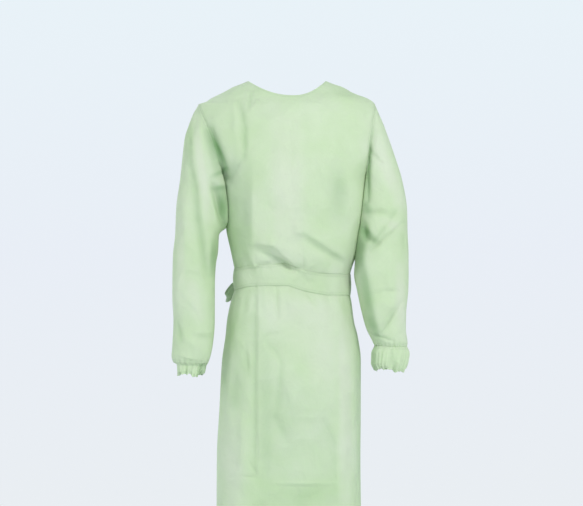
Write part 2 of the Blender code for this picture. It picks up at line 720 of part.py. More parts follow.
def wall_solid(name, outer, inner, ring, slot="gown_cloth"):
    """A closed wall between an outer and an inner grid."""
    rows, count = outer.shape[:2]
    size = rows * count
    faces = grid_triangles(rows, count, ring)
    faces += [(a + size, c + size, b + size) for a, b, c in grid_triangles(rows, count, ring)]
    last = (rows - 1) * count
    for j in range(count if ring else count - 1):
        k = (j + 1) % count
        faces += [(j, k, k + size), (j, k + size, j + size)]
        faces += [(last + j, last + j + size, last + k + size), (last + j, last + k + size, last + k)]
    if not ring:
        for i in range(rows - 1):
            for edge, turned in ((0, False), (count - 1, True)):
                a, c = i * count + edge, (i + 1) * count + edge
                pair = [(a, a + size, c + size), (a, c + size, c)]
                faces += [f[::-1] for f in pair] if turned else pair
    return add_solid(name, np.concatenate([outer.reshape(-1, 3), inner.reshape(-1, 3)]), faces, slot)


def tube_solid(name, rings, slot):
    """A closed solid through rings of points, with a flat cap at each end."""
    rows, count = rings.shape[:2]
    faces = [f[::-1] for f in grid_triangles(rows, count, ring=True)]
    last = (rows - 1) * count
    faces += [tuple(range(count))[::-1], tuple(last + j for j in range(count))]
    return add_solid(name, rings.reshape(-1, 3), faces, slot)


def start_empty():
    for ob in list(bpy.data.objects):
        bpy.data.objects.remove(ob, do_unlink=True)


def build_belt_bow(belt):
    """The belt's knot at the back left, with two loops and two hanging ends."""
    knot, along, out = knot_frame(belt)
    up = np.array([0, 0, 1])
    left_loop, right_loop = ([knot + a * along + o * out + u * up for a, o, u in t] for t in (LEFT_LOOP, RIGHT_LOOP))
    low = KNOT_HALF[2] * KNOT_END + SLANT_SEAT
    long_start = knot - ENDS_APART * along - low * up
    short_start = knot + ENDS_APART * along + SHORT_END_STEP * out - low * up
    long_end = hanging_end(long_start, LEFT, LONG_END, LONG_END_LIFT)
    short_end = hanging_end(short_start, RIGHT, SHORT_END, SHORT_END_LIFT)
    knot_solid("belt_knot", knot, KNOT_HALF, "tie_cloth", along)
    strip_solid("belt_left_loop", left_loop, LOOP_WIDTHS, upright, "tie_cloth", LOOP_POINTS)
    strip_solid("belt_right_loop", right_loop, LOOP_WIDTHS, upright, "tie_cloth", LOOP_POINTS)
    strip_solid("belt_long_end", long_end, TAIL_WIDTHS, along_back, "tie_cloth", PATH_POINTS)
    strip_solid("belt_short_end", short_end, TAIL_WIDTHS, along_back, "tie_cloth", PATH_POINTS)


def build_neck_tie():
    """The neck's small knot near the outer back panel's corner, with two hanging ends."""
    knot = np.array(on_back(*NECK_KNOT_PLACE, NECK_KNOT_LIFT))
    knot_solid("neck_tie_knot", knot, NECK_KNOT_HALF, "tie_cloth")
    for name, hand, steps in (("long", LEFT, NECK_LONG_END), ("short", RIGHT, NECK_SHORT_END)):
        start = knot + [hand * NECK_ENDS_APART, NECK_END_STEP, -NECK_KNOT_HALF[2] * KNOT_END - NECK_SEAT]
        route = hanging_end(start, hand, steps, NECK_TIE_LIFT)
        strip_solid(f"neck_tie_{name}_end", route, NECK_TIE_WIDTHS, along_back, "tie_cloth", NECK_PATH_POINTS)


def build():
    start_empty()
    front = panel_points(FRONT)
    left_back = panel_points(BACK, LEFT)
    right_back = panel_points(BACK, RIGHT)
    wall_solid("front_panel", *front, ring=False)
    wall_solid("left_back_panel", *left_back, ring=False)
    wall_solid("right_back_panel", *right_back, ring=False)
    left_sleeve = sleeve_points(LEFT_SLEEVE, LEFT_SLEEVE_FOLDS, front, left_back, LEFT)
    right_sleeve = sleeve_points(RIGHT_SLEEVE, RIGHT_SLEEVE_FOLDS, front, right_back, RIGHT)
    wall_solid("left_sleeve", *left_sleeve, ring=True)
    wall_solid("right_sleeve", *right_sleeve, ring=True)
    wall_solid("left_cuff", *cuff_points(LEFT_CUFF, left_sleeve, LEFT), ring=True)
    wall_solid("right_cuff", *cuff_points(RIGHT_CUFF, right_sleeve, RIGHT), ring=True)
    belt = belt_points(front, left_back, right_back)
    wall_solid("waist_belt", *belt, ring=False)
    build_belt_bow(belt)
    build_neck_tie()


build()
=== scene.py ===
"""Isolation gown in pale green non-woven cloth, filled out as worn, with no wearer in it.

Metres, +Z up, the front faces -Y, left is at -X as seen from the front. Each piece of cloth is a thin
closed shell on the form of its solid, with the creases that a gown keeps from its packet and its wearer.
"""

import math

import bpy
import numpy as np
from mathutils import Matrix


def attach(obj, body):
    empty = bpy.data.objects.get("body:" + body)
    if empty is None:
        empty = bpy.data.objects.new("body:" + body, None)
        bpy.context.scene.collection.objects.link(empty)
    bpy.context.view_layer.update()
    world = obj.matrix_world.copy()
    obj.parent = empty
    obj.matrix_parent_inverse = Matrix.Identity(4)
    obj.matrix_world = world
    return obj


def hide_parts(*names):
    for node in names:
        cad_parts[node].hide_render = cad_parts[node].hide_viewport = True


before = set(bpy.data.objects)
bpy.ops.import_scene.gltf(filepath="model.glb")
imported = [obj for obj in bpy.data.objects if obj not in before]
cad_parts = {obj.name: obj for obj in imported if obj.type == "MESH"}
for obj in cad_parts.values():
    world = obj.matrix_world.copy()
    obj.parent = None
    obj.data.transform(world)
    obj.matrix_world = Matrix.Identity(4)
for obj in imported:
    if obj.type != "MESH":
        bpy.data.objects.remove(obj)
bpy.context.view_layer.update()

MM = 0.001
SHEET = 0.6 * MM  # thickness of the cloth
SEAM = 0.3 * MM
SEAM_TUCK = 0.9 * MM  # how far a sleeve's edge is sewn in under the panel's
LAP_GAP = 2.2 * MM  # how far the outer back panel climbs over the inner one
FRONT, BACK = -1, 1
LEFT, RIGHT = -1, 1

# ---------------------------------------------------------------- sizes, in millimetres

NECK_LEFT, NECK_RIGHT = 94, 89
NECK_LOWEST = 12
NECK_DROP = {FRONT: 38, BACK: 50}
NECK_CURVE = {(FRONT, LEFT): 2.1, (FRONT, RIGHT): 2.2, (BACK, LEFT): 1.9, (BACK, RIGHT): 1.9}
NECK_SHARE = 0.45  # share of a panel's half width that ends at the neck
NECK_SPREAD = 1.15  # evens out the columns near the panel's middle
SHOULDER = -56
UNDERARM = -232
ROUNDNESS = 2.3
ARMHOLE_INSET = {(FRONT, LEFT): 30, (FRONT, RIGHT): 23, (BACK, LEFT): 20, (BACK, RIGHT): 20}
ARMHOLE_ROUND = 0.7
OVERLAP = 0.3
LAP_RAMP = (0.48, 0.34)

BODY_COLUMNS = "z left right front back"
BODY = [
    (0, 94, 89, 26, 32),
    (-7, 110, 106, 34, 40),
    (-14, 128, 127, 42, 48),
    (-21, 141, 140, 50, 56),
    (-28, 154, 152, 57, 63),
    (-42, 182, 188, 70, 77),
    (-49, 192, 199, 76, 83),
    (-56, 211, 205, 82, 88),
    (-80, 217, 214, 97, 101),
    (-110, 214, 216, 110, 110),
    (-150, 204, 212, 121, 116),
    (-190, 186, 203, 128, 118),
    (-232, 160, 190, 131, 117),
    (-280, 151, 187, 132, 115),
    (-350, 145, 177, 130, 111),
    (-400, 135, 163, 127, 107),
    (-430, 129, 151, 120, 102),
    (-447, 126, 146, 108, 97),
    (-472, 125, 144, 104, 94),
    (-497, 126, 146, 106, 96),
    (-514, 132, 149, 114, 103),
    (-562, 143, 155, 122, 116),
    (-600, 147, 164, 126, 122),
    (-656, 155, 171, 131, 129),
    (-768, 161, 171, 137, 136),
    (-881, 167, 170, 141, 141),
    (-1040, 168, 172, 145, 145),
    (-1160, 173, 175, 149, 150),
]
ROW_STEPS = [
    (-232, 0),
    (-430, 50),
    (-447, 5),
    (-497, 14),
    (-514, 4),
    (-650, 34),
    (-900, 50),
    (-955, 24),
    (-1160, 32),
]
TOP_ROWS = 56
NECK_CELLS, SHOULDER_CELLS = 38, 46  # on each half of the front panel
BACK_NECK_CELLS, BACK_SHOULDER_CELLS, LAP_CELLS = 30, 36, 20

BELT_MIDDLE = -472
BELT_COLUMNS = "x z"
BELT_LINE = [(-130, -466), (-75, -454), (-10, -453), (35, -465), (80, -475), (143, -479)]
BELT_TOP, BELT_BOTTOM = -447, -497
BELT_REACH = 85
BELT_GAP = (-0.50, -0.46)
BELT_CROWN, BELT_RUMPLE = 2.2, 0.7
BELT_WALL, BELT_EDGE_WALL = 1.4, 0.5

GATHERS = 26
GATHER_HEIGHT = {FRONT: 1.3, BACK: 2.4}
GATHER_REACH = 62

SLEEVE_COLUMNS = "outer_x outer_z inner_x inner_z middle_y half_depth"
LEFT_SLEEVE = [
    (-211, -56, -160, -232, 0, 71),
    (-224, -80, -144, -242, -2, 72),
    (-233, -105, -134, -256, -5, 71),
    (-242, -135, -128, -274, -9, 71),
    (-247, -180, -128, -300, -15, 70),
    (-252, -230, -132, -334, -22, 67),
    (-261, -300, -161, -362, -30, 62),
    (-263, -360, -163, -400, -36, 60),
    (-268, -411, -168, -432, -41, 58),
    (-269, -468, -170, -470, -46, 56),
    (-269, -505, -170, -505, -50, 55),
    (-266, -562, -170, -562, -56, 52),
    (-268, -614, -174, -614, -62, 48),
    (-269, -641, -180, -643, -65, 44),
    (-265, -656, -186, -659, -66, 37),
]
RIGHT_SLEEVE = [
    (205, -56, 190, -232, 0, 71),
    (214, -78, 180, -243, -1, 71),
    (223, -100, 172, -258, -4, 71),
    (234, -130, 166, -276, -8, 70),
    (251, -180, 162, -300, -14, 69),
    (266, -230, 160, -330, -20, 68),
    (278, -300, 156, -360, -28, 66),
    (279, -355, 157, -395, -34, 64),
    (281, -405, 156, -425, -38, 62),
    (281, -449, 154, -455, -42, 61),
    (280, -490, 161, -492, -46, 58),
    (275, -540, 171, -540, -51, 54),
    (274, -580, 182, -580, -56, 50),
    (277, -608, 194, -604, -60, 44),
    (275, -620, 201, -618, -61, 37),
]
ARMHOLE_BLEND = 3.0
SLEEVE_ROWS = 160
CLEAR_AT_UNDERARM, CLEAR_BELOW = 2.8, 1.8
CLEAR_FADE = 60
ARMHOLE_FLOOR = 16
WRIST_GATHERS = 24
WRIST_GATHER_HEIGHT = 1.6

CUFF_COLUMNS = SLEEVE_COLUMNS + " wave"
LEFT_CUFF = [
    (-265, -656, -186, -659, -66, 37, 0),
    (-257, -663, -190, -667, -66, 31, 2),
    (-255, -674, -193, -677, -66, 32, 4),
    (-254, -684, -196, -685, -66, 34, 6),
]
RIGHT_CUFF = [
    (275, -620, 201, -618, -61, 37, 0),
    (280, -636, 193, -636, -61, 41, 2),
    (276, -658, 193, -657, -62, 38, 3),
    (268, -676, 202, -673, -62, 33, 5),
]
CUFF_WAVES = 10
CUFF_RAGGED = 0.6  # how far its edge goes up and down, as a share of its waves
CUFF_DARK_EDGE, CUFF_DARK_FADE = 214, 16  # painted shade: the cuffs are painted darker nearer the middle than this, where they hang by the body
CUFF_ROWS = 28
CUFF_SPLIT = 3

TIE_WALL = 1.6
TIE_CELLS = 12  # across each strip
LOOP_STEPS, TAIL_STEPS, NECK_TIE_STEPS = 90, 110, 80  # points along each strip
TAIL_CURL, NECK_TIE_CURL = 1.2, 0.6
TIE_SHEET = 0.8  # a strip's thickness, as a share of its solid's wall
TIE_TROUGHS = 4  # how much stronger the painted shade in a trough is on a strip than on a panel
PACKET_FOLD, PACKET_FOLD_HALF = 46, 2.2  # between a strip's folds from its packet, and half their width
KNOT_HALF = (14, 8, 16)
KNOT_END = 0.94  # share of a knot's half height at which its round ends are cut flat
KNOT_ROWS, KNOT_POINTS = 33, 64
TIE_SEAT = 1.15  # between the knot and the belt
SLANT_SEAT = 1.4
LOOP_WIDTHS = (16, 23, 19, 19, 23, 16)
TAIL_WIDTHS = (14, 30, 30, 30)
NECK_TIE_WIDTHS = (8, 12, 12)
LEFT_LOOP = [  # along the belt, out from it and up, from the knot's middle
    (-15, 2, -3),
    (-30, 7, -13),
    (-46, 13, -31),
    (-54, 13, -41),
    (-55, 8, -43),
    (-48, 5, -35),
    (-29, 1, -17),
    (-15, -2, -7),
]
RIGHT_LOOP = [
    (14, 3, -3),
    (40, 7, -13),
    (64, 5, -26),
    (76, -2, -32),
    (73, -8, -33),
    (58, -5, -27),
    (36, 0, -16),
    (14, -2, -7),
]
LONG_END = [(2, 30), (8, 75), (16, 130), (19, 190), (24, 255)]  # sideways and down from its start
SHORT_END = [(10, 30), (20, 70), (26, 115), (36, 170)]
NECK_LONG_END = [(4, 25), (12, 65), (15, 110), (22, 160)]
NECK_SHORT_END = [(6, 22), (15, 55), (20, 95), (30, 125)]
TIE_LIFT, LONG_END_LIFT, SHORT_END_LIFT = 6, 8, 15  # out from the back
TAILS_APART, SHORT_END_OUT = 6, 2.5
NECK_KNOT_PLACE = (50, -58)
NECK_KNOT_LIFT = 8.3
NECK_KNOT_HALF = (8, 5, 8)
NECK_ENDS_APART, NECK_ENDS_OUT = 4.2, 0.5
NECK_SEAT = 0.7

# Creases as seen from the front, with the columns x0 z0 x1 z1 bow above below height edge: a line from
# x0, z0 to x1, z1, how far its middle bows, its width above it or on its right, its width below it or on
# its left, its height (a trough's is negative), and its edge, from 1 for a sharp one to 2 for a soft one.
FRONT_CREASES = [
    (-115, -49, -99, -116, 1, 6, 6, -3.5, 1.5),
    (-99, -116, -101, -183, 1, 6, 6, -4.5, 1.5),
    (-101, -183, -132, -235, -1, 7, 6, -4, 1.5),
    (-125, -59, -115, -167, 0, 9, 9, 2.5, 2),
    (-69, -50, -90, -76, 0, 3, 3, 2.5, 1.5),
    (-86, -27, -92, -67, 0, 5, 5, -2.5, 2),
    (-81, -227, -80, -370, 0, 50, 26, 9, 1.1),
    (-99, -245, -101, -360, 0, 14, 14, -3, 2),
    (-178, -121, -144, -230, 2, 9, 7, -10, 1.6),
    (-155, -211, -132, -244, 0, 9, 9, -7, 1.8),
    (83, -205, 94, -273, 0, 16, 12, 3, 1.3),
    (115, -227, 127, -310, 0, 24, 22, -5, 2),
    (115, -156, 115, -195, 0, 18, 18, 3, 2),
    (157, -143, 143, -309, 0, 14, 14, 2.5, 2),
    (-16, -117, -16, -274, 0, 14, 14, 3, 2),
    (35, -205, 35, -351, 0, 12, 18, 3.5, 1.8),
    (9, -98, 9, -260, 0, 9, 9, -1.5, 2),
    (-73, -288, -46, -290, 0, 2.5, 2.5, -1.4, 1.2),
    (-46, -290, -34, -306, -1, 2.5, 2.5, -1.2, 1.2),
    (-72, -381, -30, -389, 1, 26, 6, 7, 1.3),
    (-30, -389, 32, -443, 0, 26, 6, 8, 1.3),
    (-69, -397, 19, -443, 0, 8, 8, -6, 2),
    (12, -361, 35, -354, 0, 22, 9, 5, 1.4),
    (35, -354, 132, -416, 1, 22, 9, 7, 1.3),
    (41, -374, 125, -425, 0, 10, 10, -5, 2),
    (69, -415, 97, -434, 0, 16, 16, 3, 2),
    (37, -402, 35, -443, 0, 4, 4, -2, 1.3),
    (-80, -418, -71, -441, 0, 5, 4, 3.5, 1.2),
    (-104, -409, -116, -439, 0, 8, 8, -3, 2),
    (104, -449, 137, -449, 0, 3, 3, 1.5, 1.2),
    (-27, -482, -25, -551, 0, 5, 5, -3, 1.6),
    (-55, -485, -50, -540, 0, 7, 7, 2.5, 1.8),
    (0, -480, 5, -526, 0, 8, 8, 2.5, 1.8),
    (39, -493, 65, -521, 0, 5, 7, -4, 1.4),
    (90, -476, 92, -524, 0, 12, 12, -3.5, 2),
    (125, -513, 120, -591, 0, 16, 16, 3, 2),
    (-75, -482, -74, -905, 0, 2.6, 9, -2.2, 1.3),
    (-68, -482, -67, -905, 0, 12, 2.6, 2.2, 1.3),
    (-118, -436, -60, -428, 0, 13, 4, 4.5, 1.8),
    (52, -444, 140, -452, 0, 13, 4, 4.0, 1.8),
    (-97, -616, -92, -677, 0, 4, 9, -3, 1.6),
    (-115, -605, -94, -627, 1, 7, 7, 2.2, 1.6),
    (-120, -678, -129, -789, 0, 12, 12, -3, 2),
    (-103, -765, -108, -884, 0, 10, 10, 3, 2),
    (-146, -514, -153, -792, 0, 9, 9, -2.5, 2),
    (-69, -596, -11, -587, 0, 3.5, 5, -2, 1.3),
    (-49, -610, -15, -656, 2, 8, 8, -3, 1.6),
    (-15, -656, -18, -704, 0, 7, 7, -3, 1.6),
    (-18, -704, -30, -779, 2, 8, 8, -3, 1.7),
    (-30, -779, -4, -831, 0, 9, 9, -3, 1.7),
    (-4, -704, 18, -779, 0, 16, 6, 3, 1.5),
    (18, -779, 78, -779, -2, 12, 6, 2.5, 1.5),
    (78, -779, 110, -845, 2, 6, 12, -2.5, 1.5),
    (110, -845, 110, -929, 0, 5, 16, -2.5, 1.4),
    (55, -615, 28, -683, 0, 18, 18, -2.5, 2),
    (97, -615, 64, -729, 0, 16, 16, 2.5, 2),
    (132, -628, 129, -903, 0, 10, 14, 2.5, 2),
    (152, -606, 152, -975, 0, 3, 6, 3, 1.1),
    (161, -618, 160, -977, 0, 6, 3, -2.5, 1.5),
    (-29, -928, 110, -931, 0, 2.6, 4, 1.3, 1.2),
    (-27, -936, 110, -939, 0, 3.5, 16, -1.6, 1.3),
    (-110, -916, -73, -916, 0, 3, 3, -2, 1.3),
    (-89, -882, -72, -907, 0, 3, 4, -2.2, 1.3),
    (28, -968, 28, -1059, 0, 20, 20, -3, 2),
    (-60, -985, -66, -1120, 0, 9, 14, -3.5, 1.6),
    (92, -1000, 99, -1130, 0, 14, 10, 3, 1.8),
    (-120, -960, -126, -1100, 0, 12, 12, 3, 2),
]
BACK_CREASES = [  # as seen from the front, through the gown
    (-70, -70, -95, -220, 3, 9, 12, -4, 1.6),
    (84, -75, 100, -225, -3, 12, 8, -4, 1.5),
    (-118, -66, -128, -170, 0, 10, 10, 2.5, 2),
    (30, -96, 18, -240, 2, 14, 14, 2.5, 2),
    (-30, -110, -44, -190, 0, 8, 8, -2.5, 1.7),
    (-96, -330, -8, -425, 2, 10, 7, -5, 1.4),
    (-70, -318, 10, -398, 0, 16, 14, 4, 1.8),
    (116, -300, 44, -432, -3, 9, 7, -5, 1.4),
    (132, -330, 88, -430, 0, 12, 12, 3.5, 1.8),
    (-128, -300, -112, -410, 0, 9, 9, -3.5, 1.6),
    (22, -260, 26, -330, 0, 6, 6, -2, 1.4),
    (-40, -520, -62, -900, 3, 13, 16, -5, 1.8),
    (75, -520, 92, -980, -3, 16, 14, -5, 1.8),
    (130, -600, 138, -1050, 0, 14, 14, 4, 2),
    (-120, -600, -128, -1000, 0, 14, 14, 4, 2),
    (60, -515, 62, -1130, 0, 2.4, 8, -3, 1.2),
    (67, -515, 69, -1130, 0, 10, 2.4, 2.2, 1.2),
    (-96, -560, -90, -720, 0, 6, 6, -2.5, 1.5),
    (-84, -760, -100, -860, 2, 7, 7, 2.5, 1.6),
    (8, -640, 24, -760, 0, 10, 10, -3, 1.8),
    (112, -700, 96, -800, 2, 8, 8, -2.5, 1.5),
    (-130, -905, 58, -911, 0, 2.4, 4, -2.2, 1.2),
    (20, -968, 14, -1100, 0, 16, 16, 3.5, 2),
    (-24, -540, -16, -610, 0, 6, 6, 2.5, 1.6),
]
LEFT_SLEEVE_CREASES = [
    (-211, -68, -230, -143, 1, 9, 9, -4, 1.8),
    (-230, -143, -228, -195, 0, 9, 9, -4, 1.8),
    (-228, -195, -213, -258, 0, 9, 9, -4, 1.8),
    (-213, -258, -207, -328, 0, 9, 9, -4, 1.8),
    (-207, -328, -185, -455, 1, 9, 8, -4, 1.8),
    (-244, -258, -233, -425, 0, 13, 13, 2.5, 2),
    (-173, -251, -152, -341, 1, 12, 6, -15, 1.7),
    (-187, -166, -176, -207, 0, 7, 7, 2.5, 2),
    (-178, -293, -175, -332, 0, 6, 6, -2.5, 2),
    (-254, -473, -242, -443, 1, 3, 6, 2, 1.3),
    (-242, -443, -207, -447, 1, 7, 4, 2.5, 1.3),
    (-207, -447, -189, -471, 0, 7, 4, 2.5, 1.3),
    (-225, -524, -202, -563, 0, 3, 3.5, -2.2, 1.3),
    (-235, -501, -211, -530, 0, 8, 8, 2.5, 2),
    (-256, -561, -244, -606, 0, 6, 6, -4, 1.6),
    (-214, -586, -169, -585, 0, 5, 4, 3.5, 1.3),
    (-209, -599, -172, -597, 0, 5, 5, -3, 1.8),
    (-230, -604, -195, -632, 2, 9, 9, 3, 2),
    (-258, -637, -209, -650, 0, 4, 3, 2.5, 1.2),
]
RIGHT_SLEEVE_CREASES = [
    (196, -80, 187, -131, 0, 6, 5, -5, 1.4),
    (187, -131, 183, -209, 0, 6, 5, -7, 1.4),
    (183, -209, 185, -281, 0, 6, 5, -8, 1.4),
    (214, -87, 230, -162, 0, 12, 12, 2.5, 2),
    (187, -164, 215, -194, 0, 5, 5, -4, 1.6),
    (195, -211, 231, -258, 0, 14, 14, 3, 2),
    (179, -309, 222, -309, 0, 5, 5, -4, 1.6),
    (219, -314, 255, -309, 0, 8, 8, -2.5, 2),
    (201, -379, 257, -309, 0, 2.5, 3, 3, 1.2),
    (210, -388, 267, -318, 0, 2.5, 3, 3, 1.2),
    (189, -399, 272, -330, 1, 3, 4, -5, 1.4),
    (175, -337, 180, -369, 0, 8, 8, -12, 1.8),
    (178, -365, 208, -383, 0, 6, 7, -6, 1.8),
    (269, -346, 268, -402, 0, 4, 6, -3, 1.6),
    (240, -397, 235, -478, 0, 12, 12, 3, 2),
    (180, -425, 191, -512, 0, 5, 9, 2.5, 1.3),
    (191, -512, 212, -593, 1, 5, 9, 2.5, 1.3),
    (196, -496, 254, -490, 1, 4, 4, -2.5, 1.4),
    (219, -519, 242, -531, 0, 9, 9, 3.5, 2),
    (266, -513, 216, -588, -1, 4, 4, -5, 1.4),
    (251, -512, 207, -572, 0, 5, 5, 3, 1.6),
    (271, -550, 239, -604, 0, 6, 6, 2.5, 1.8),
    (192, -594, 239, -606, 1, 5, 4, -4, 1.5),
]
SLEEVE_BACK_CREASES = [  # at the back of both elbows, given on the right side
    (196, -150, 240, -186, 1, 8, 8, -3, 1.7),
    (205, -330, 262, -372, 2, 9, 7, -5, 1.5),
    (205, -352, 258, -392, 0, 7, 7, 3, 1.7),
    (205, -400, 268, -405, -1, 7, 8, -5, 1.5),
    (200, -470, 262, -440, 0, 8, 7, -4, 1.5),
    (214, -505, 250, -480, 0, 7, 7, 2.5, 1.7),
    (210, -560, 262, -530, 1, 7, 7, -4, 1.6),
    (226, -250, 236, -300, 0, 10, 10, -3, 2),
]
CREASE_FADE = 0.5  # what is left of a crease's height at its ends
CREASE_DEPTH = 1.35
CREASE_LIFT = np.array([0.3, 1.0, 1.0])  # creases move the cloth little across, so that the outline stays

# Painted shade: where the cloth's colour is made greener and darker, as the creases' tables, with a share in
# place of a height; a share under zero is painted highlight, paler and greyer
ARMPIT_TONES = [  # on the panel and the sleeve, seen from the front
    (-184, -121, -142, -203, 0, 5, 13, 0.50, 1.8),
    (-176, -226, -142, -210, 0, 4, 6, 0.42, 1.8),
    (-176, -253, -142, -250, 0, 4, 8, 0.45, 1.8),
]
FRONT_TONES = ARMPIT_TONES + [
    (-1, -112, 2, -392, 0, 34, 38, -0.40, 4),
    (40, -492, 40, -590, 0, 90, 88, -0.34, 5),
    (62, -600, 96, -700, 0, 40, 40, -0.25, 3),
    (133, -560, 133, -960, 0, 14, 16, -0.40, 4),
    (-128, -800, -122, -985, 0, 26, 32, -0.35, 3),
    (-60, -330, -58, -395, 0, 16, 20, -0.20, 3),
    (-52, -610, -50, -950, 0, 14, 18, 0.10, 3),
    (-40, -985, 110, -985, 0, 30, 40, 0.05, 3),
    (-118, -236, -116, -420, 0, 36, 44, 0.20, 8),
    (-176, -118, -150, -222, 0, 12, 22, 0.25, 2.2),
    (-104, -66, -101, -186, 0, 7, 8, 0.10, 2),
    (-120, -186, -134, -232, 0, 8, 8, 0.12, 2),
    (106, -212, 112, -330, 0, 24, 24, 0.09, 2.5),
    (-60, -402, 25, -440, 0, 9, 8, 0.14, 2),
    (44, -372, 128, -424, 0, 10, 8, 0.10, 2),
    (-30, -600, -24, -900, 0, 44, 36, 0.09, 3),
    (-106, -530, -110, -800, 0, 16, 30, 0.05, 3),
    (46, -650, 52, -925, 0, 60, 60, 0.07, 3),
    (-27, -950, 108, -950, 0, 12, 26, 0.09, 2.5),
    (167, -600, 170, -1010, 0, 8, 8, 0.14, 3),
    (-76, -490, -75, -905, 0, 2, 6, 0.10, 2),
]
BACK_TONES = [
    (-30, -560, -48, -930, 0, 40, 44, 0.10, 3),
    (112, -250, 104, -410, 0, 30, 34, 0.12, 4),
    (84, -560, 96, -980, 0, 26, 40, 0.09, 3),
]
LEFT_SLEEVE_TONES = ARMPIT_TONES + [
    (-184, -130, -160, -225, 0, 18, 12, 0.22, 2.4),
    (-152, -256, -148, -336, 0, 14, 10, 0.62, 2.4),
    (-218, -85, -184, -325, 0, 11, 11, -0.40, 3),
    (-250, -330, -246, -470, 0, 10, 10, -0.25, 3),
    (-222, -470, -200, -560, 0, 12, 14, -0.25, 3),
    (-172, -378, -174, -452, 0, 10, 7, 0.45, 2.5),
    (-226, -84, -228, -196, 0, 8, 8, 0.12, 2),
    (-226, -196, -190, -455, 2, 9, 9, 0.15, 2),
    (-254, -570, -246, -612, 0, 5, 7, 0.15, 2),
]
RIGHT_SLEEVE_TONES = [
    (205, -150, 262, -290, 0, 16, 16, -0.35, 3),
    (222, -330, 262, -345, 0, 9, 12, -0.25, 3),
    (262, -440, 262, -560, 0, 10, 14, -0.40, 3),
    (192, -88, 184, -290, 0, 5, 9, 0.40, 2),
    (182, -296, 186, -316, 0, 9, 9, 0.40, 2),
    (166, -338, 198, -366, 0, 5, 14, 0.50, 1.8),
    (172, -362, 164, -424, 0, 12, 16, 0.52, 2.6),
    (166, -424, 192, -566, 3, 13, 12, 0.50, 2.6),
    (192, -560, 210, -606, 0, 12, 10, 0.45, 2.4),
    (258, -296, 190, -392, 0, 4, 7, 0.16, 2),
]
SLEEVE_BACK_TONES = [
    (205, -332, 262, -374, 0, 8, 8, 0.12, 2),
    (204, -402, 268, -407, 0, 8, 8, 0.12, 2),
]


# ---------------------------------------------------------------- tables, curves and creases


def columns(names, rows):
    """A table's columns by name, in metres."""
    return dict(zip(names.split(), np.array(rows, float).T * MM))


def smooth(places, values, at):
    """A curve through a table's rows that rounds their corners and never overshoots them."""
    order = np.argsort(places)
    p, v = np.asarray(places)[order], np.asarray(values)[order]
    slope = np.diff(v) / np.diff(p)
    before, after = slope[:-1], slope[1:]
    same_way = before * after > 0
    total = np.where(same_way, before + after, 1.0)
    bend = np.where(same_way, 2 * before * after / total, 0.0)
    tangent = np.concatenate([slope[:1], bend, slope[-1:]])
    at = np.clip(at, p[0], p[-1])
    i = np.clip(np.searchsorted(p, at) - 1, 0, len(p) - 2)
    step = p[i + 1] - p[i]
    f = (at - p[i]) / step
    start = (1 + 2 * f) * (1 - f) ** 2 * v[i] + f * (1 - f) ** 2 * step * tangent[i]
    end = f**2 * (3 - 2 * f) * v[i + 1] + f**2 * (f - 1) * step * tangent[i + 1]
    return start + end


def ease(f):
    """0 to 1 with a soft start and end."""
    f = np.clip(f, 0, 1)
    return f * f * (3 - 2 * f)


def unit(vectors):
    return vectors / np.maximum(np.linalg.norm(vectors, axis=-1, keepdims=True), 1e-12)


def by_lines(table, x, z):
    """The sum of a table's soft-edged lines at each place seen from the front."""
    total = np.zeros_like(x)
    for x0, z0, x1, z1, bow, above, below, most, edge in table:
        run = math.hypot(x1 - x0, z1 - z0)
        way_x, way_z = (x1 - x0) / run, (z1 - z0) / run
        off_x, off_z = x / MM - x0, z / MM - z0
        along = off_x * way_x + off_z * way_z
        share = np.clip(along / run, 0, 1)
        away = off_z * way_x - off_x * way_z - bow * 4 * share * (1 - share)
        past = np.maximum(np.maximum(-along, along - run), 0) / max(above, below)
        width = np.where(away > 0, above, below)
        fade = (CREASE_FADE + (1 - CREASE_FADE) * np.sin(math.pi * share)) * np.exp(-(past**2))
        total += most * fade * np.exp(-((np.abs(away) / width) ** edge))
    return total


def crease_height(table, x, z):
    """How far the creases of a table move the cloth."""
    return by_lines(table, x, z) * CREASE_DEPTH * MM


def painted_trough_shade(height):
    """Painted shade: how much darker the cloth's colour is made in a trough."""
    return np.clip(-height / (45 * MM), 0, 0.15)


def uneven_waves(count, turns, drift, shift):
    """Waves round a ring, uneven in spacing by their drift, and in height."""
    return np.sin(count * turns + drift * np.sin(3 * turns)) * (0.7 + 0.3 * np.sin(5 * turns + shift))


def grid_normals(grid, ring):
    """Outward directions on a grid whose columns run left to right seen from outside. A ring closes."""
    down = np.gradient(grid, axis=0)
    if ring:
        across = np.roll(grid, -1, axis=1) - np.roll(grid, 1, axis=1)
    else:
        across = np.gradient(grid, axis=1)
    return unit(np.cross(down, across))


# ---------------------------------------------------------------- the body's rings and panels


BODY_SIZES = columns(BODY_COLUMNS, BODY)
BELT_SIZES = columns(BELT_COLUMNS, BELT_LINE)


def body_size(name, z):
    return smooth(BODY_SIZES["z"], BODY_SIZES[name], z)


def body_ring(z, side):
    """Middle, half width and depth of the ring at a height."""
    left, right = body_size("left", z), body_size("right", z)
    return (right - left) / 2, (right + left) / 2, body_size("front" if side == FRONT else "back", z)


def body_depth(x, z, side):
    """Where the body's surface lies in depth at a place seen from the front."""
    middle, half, depth = body_ring(z, side)
    share = np.clip(np.abs(x - middle) / half, 0, 1)
    return side * depth * (1 - share**ROUNDNESS) ** (1 / ROUNDNESS)


def shoulder_height(x):
    """Height of the shoulder's ridge over a place across."""
    heights = np.linspace(SHOULDER, 0, 57) * MM
    left = np.interp(-x, body_size("left", heights)[::-1], heights[::-1])
    right = np.interp(x, body_size("right", heights)[::-1], heights[::-1])
    return np.where(x < 0, left, right)


def body_edge(z, hand):
    return hand * body_size("left" if hand == LEFT else "right", z)


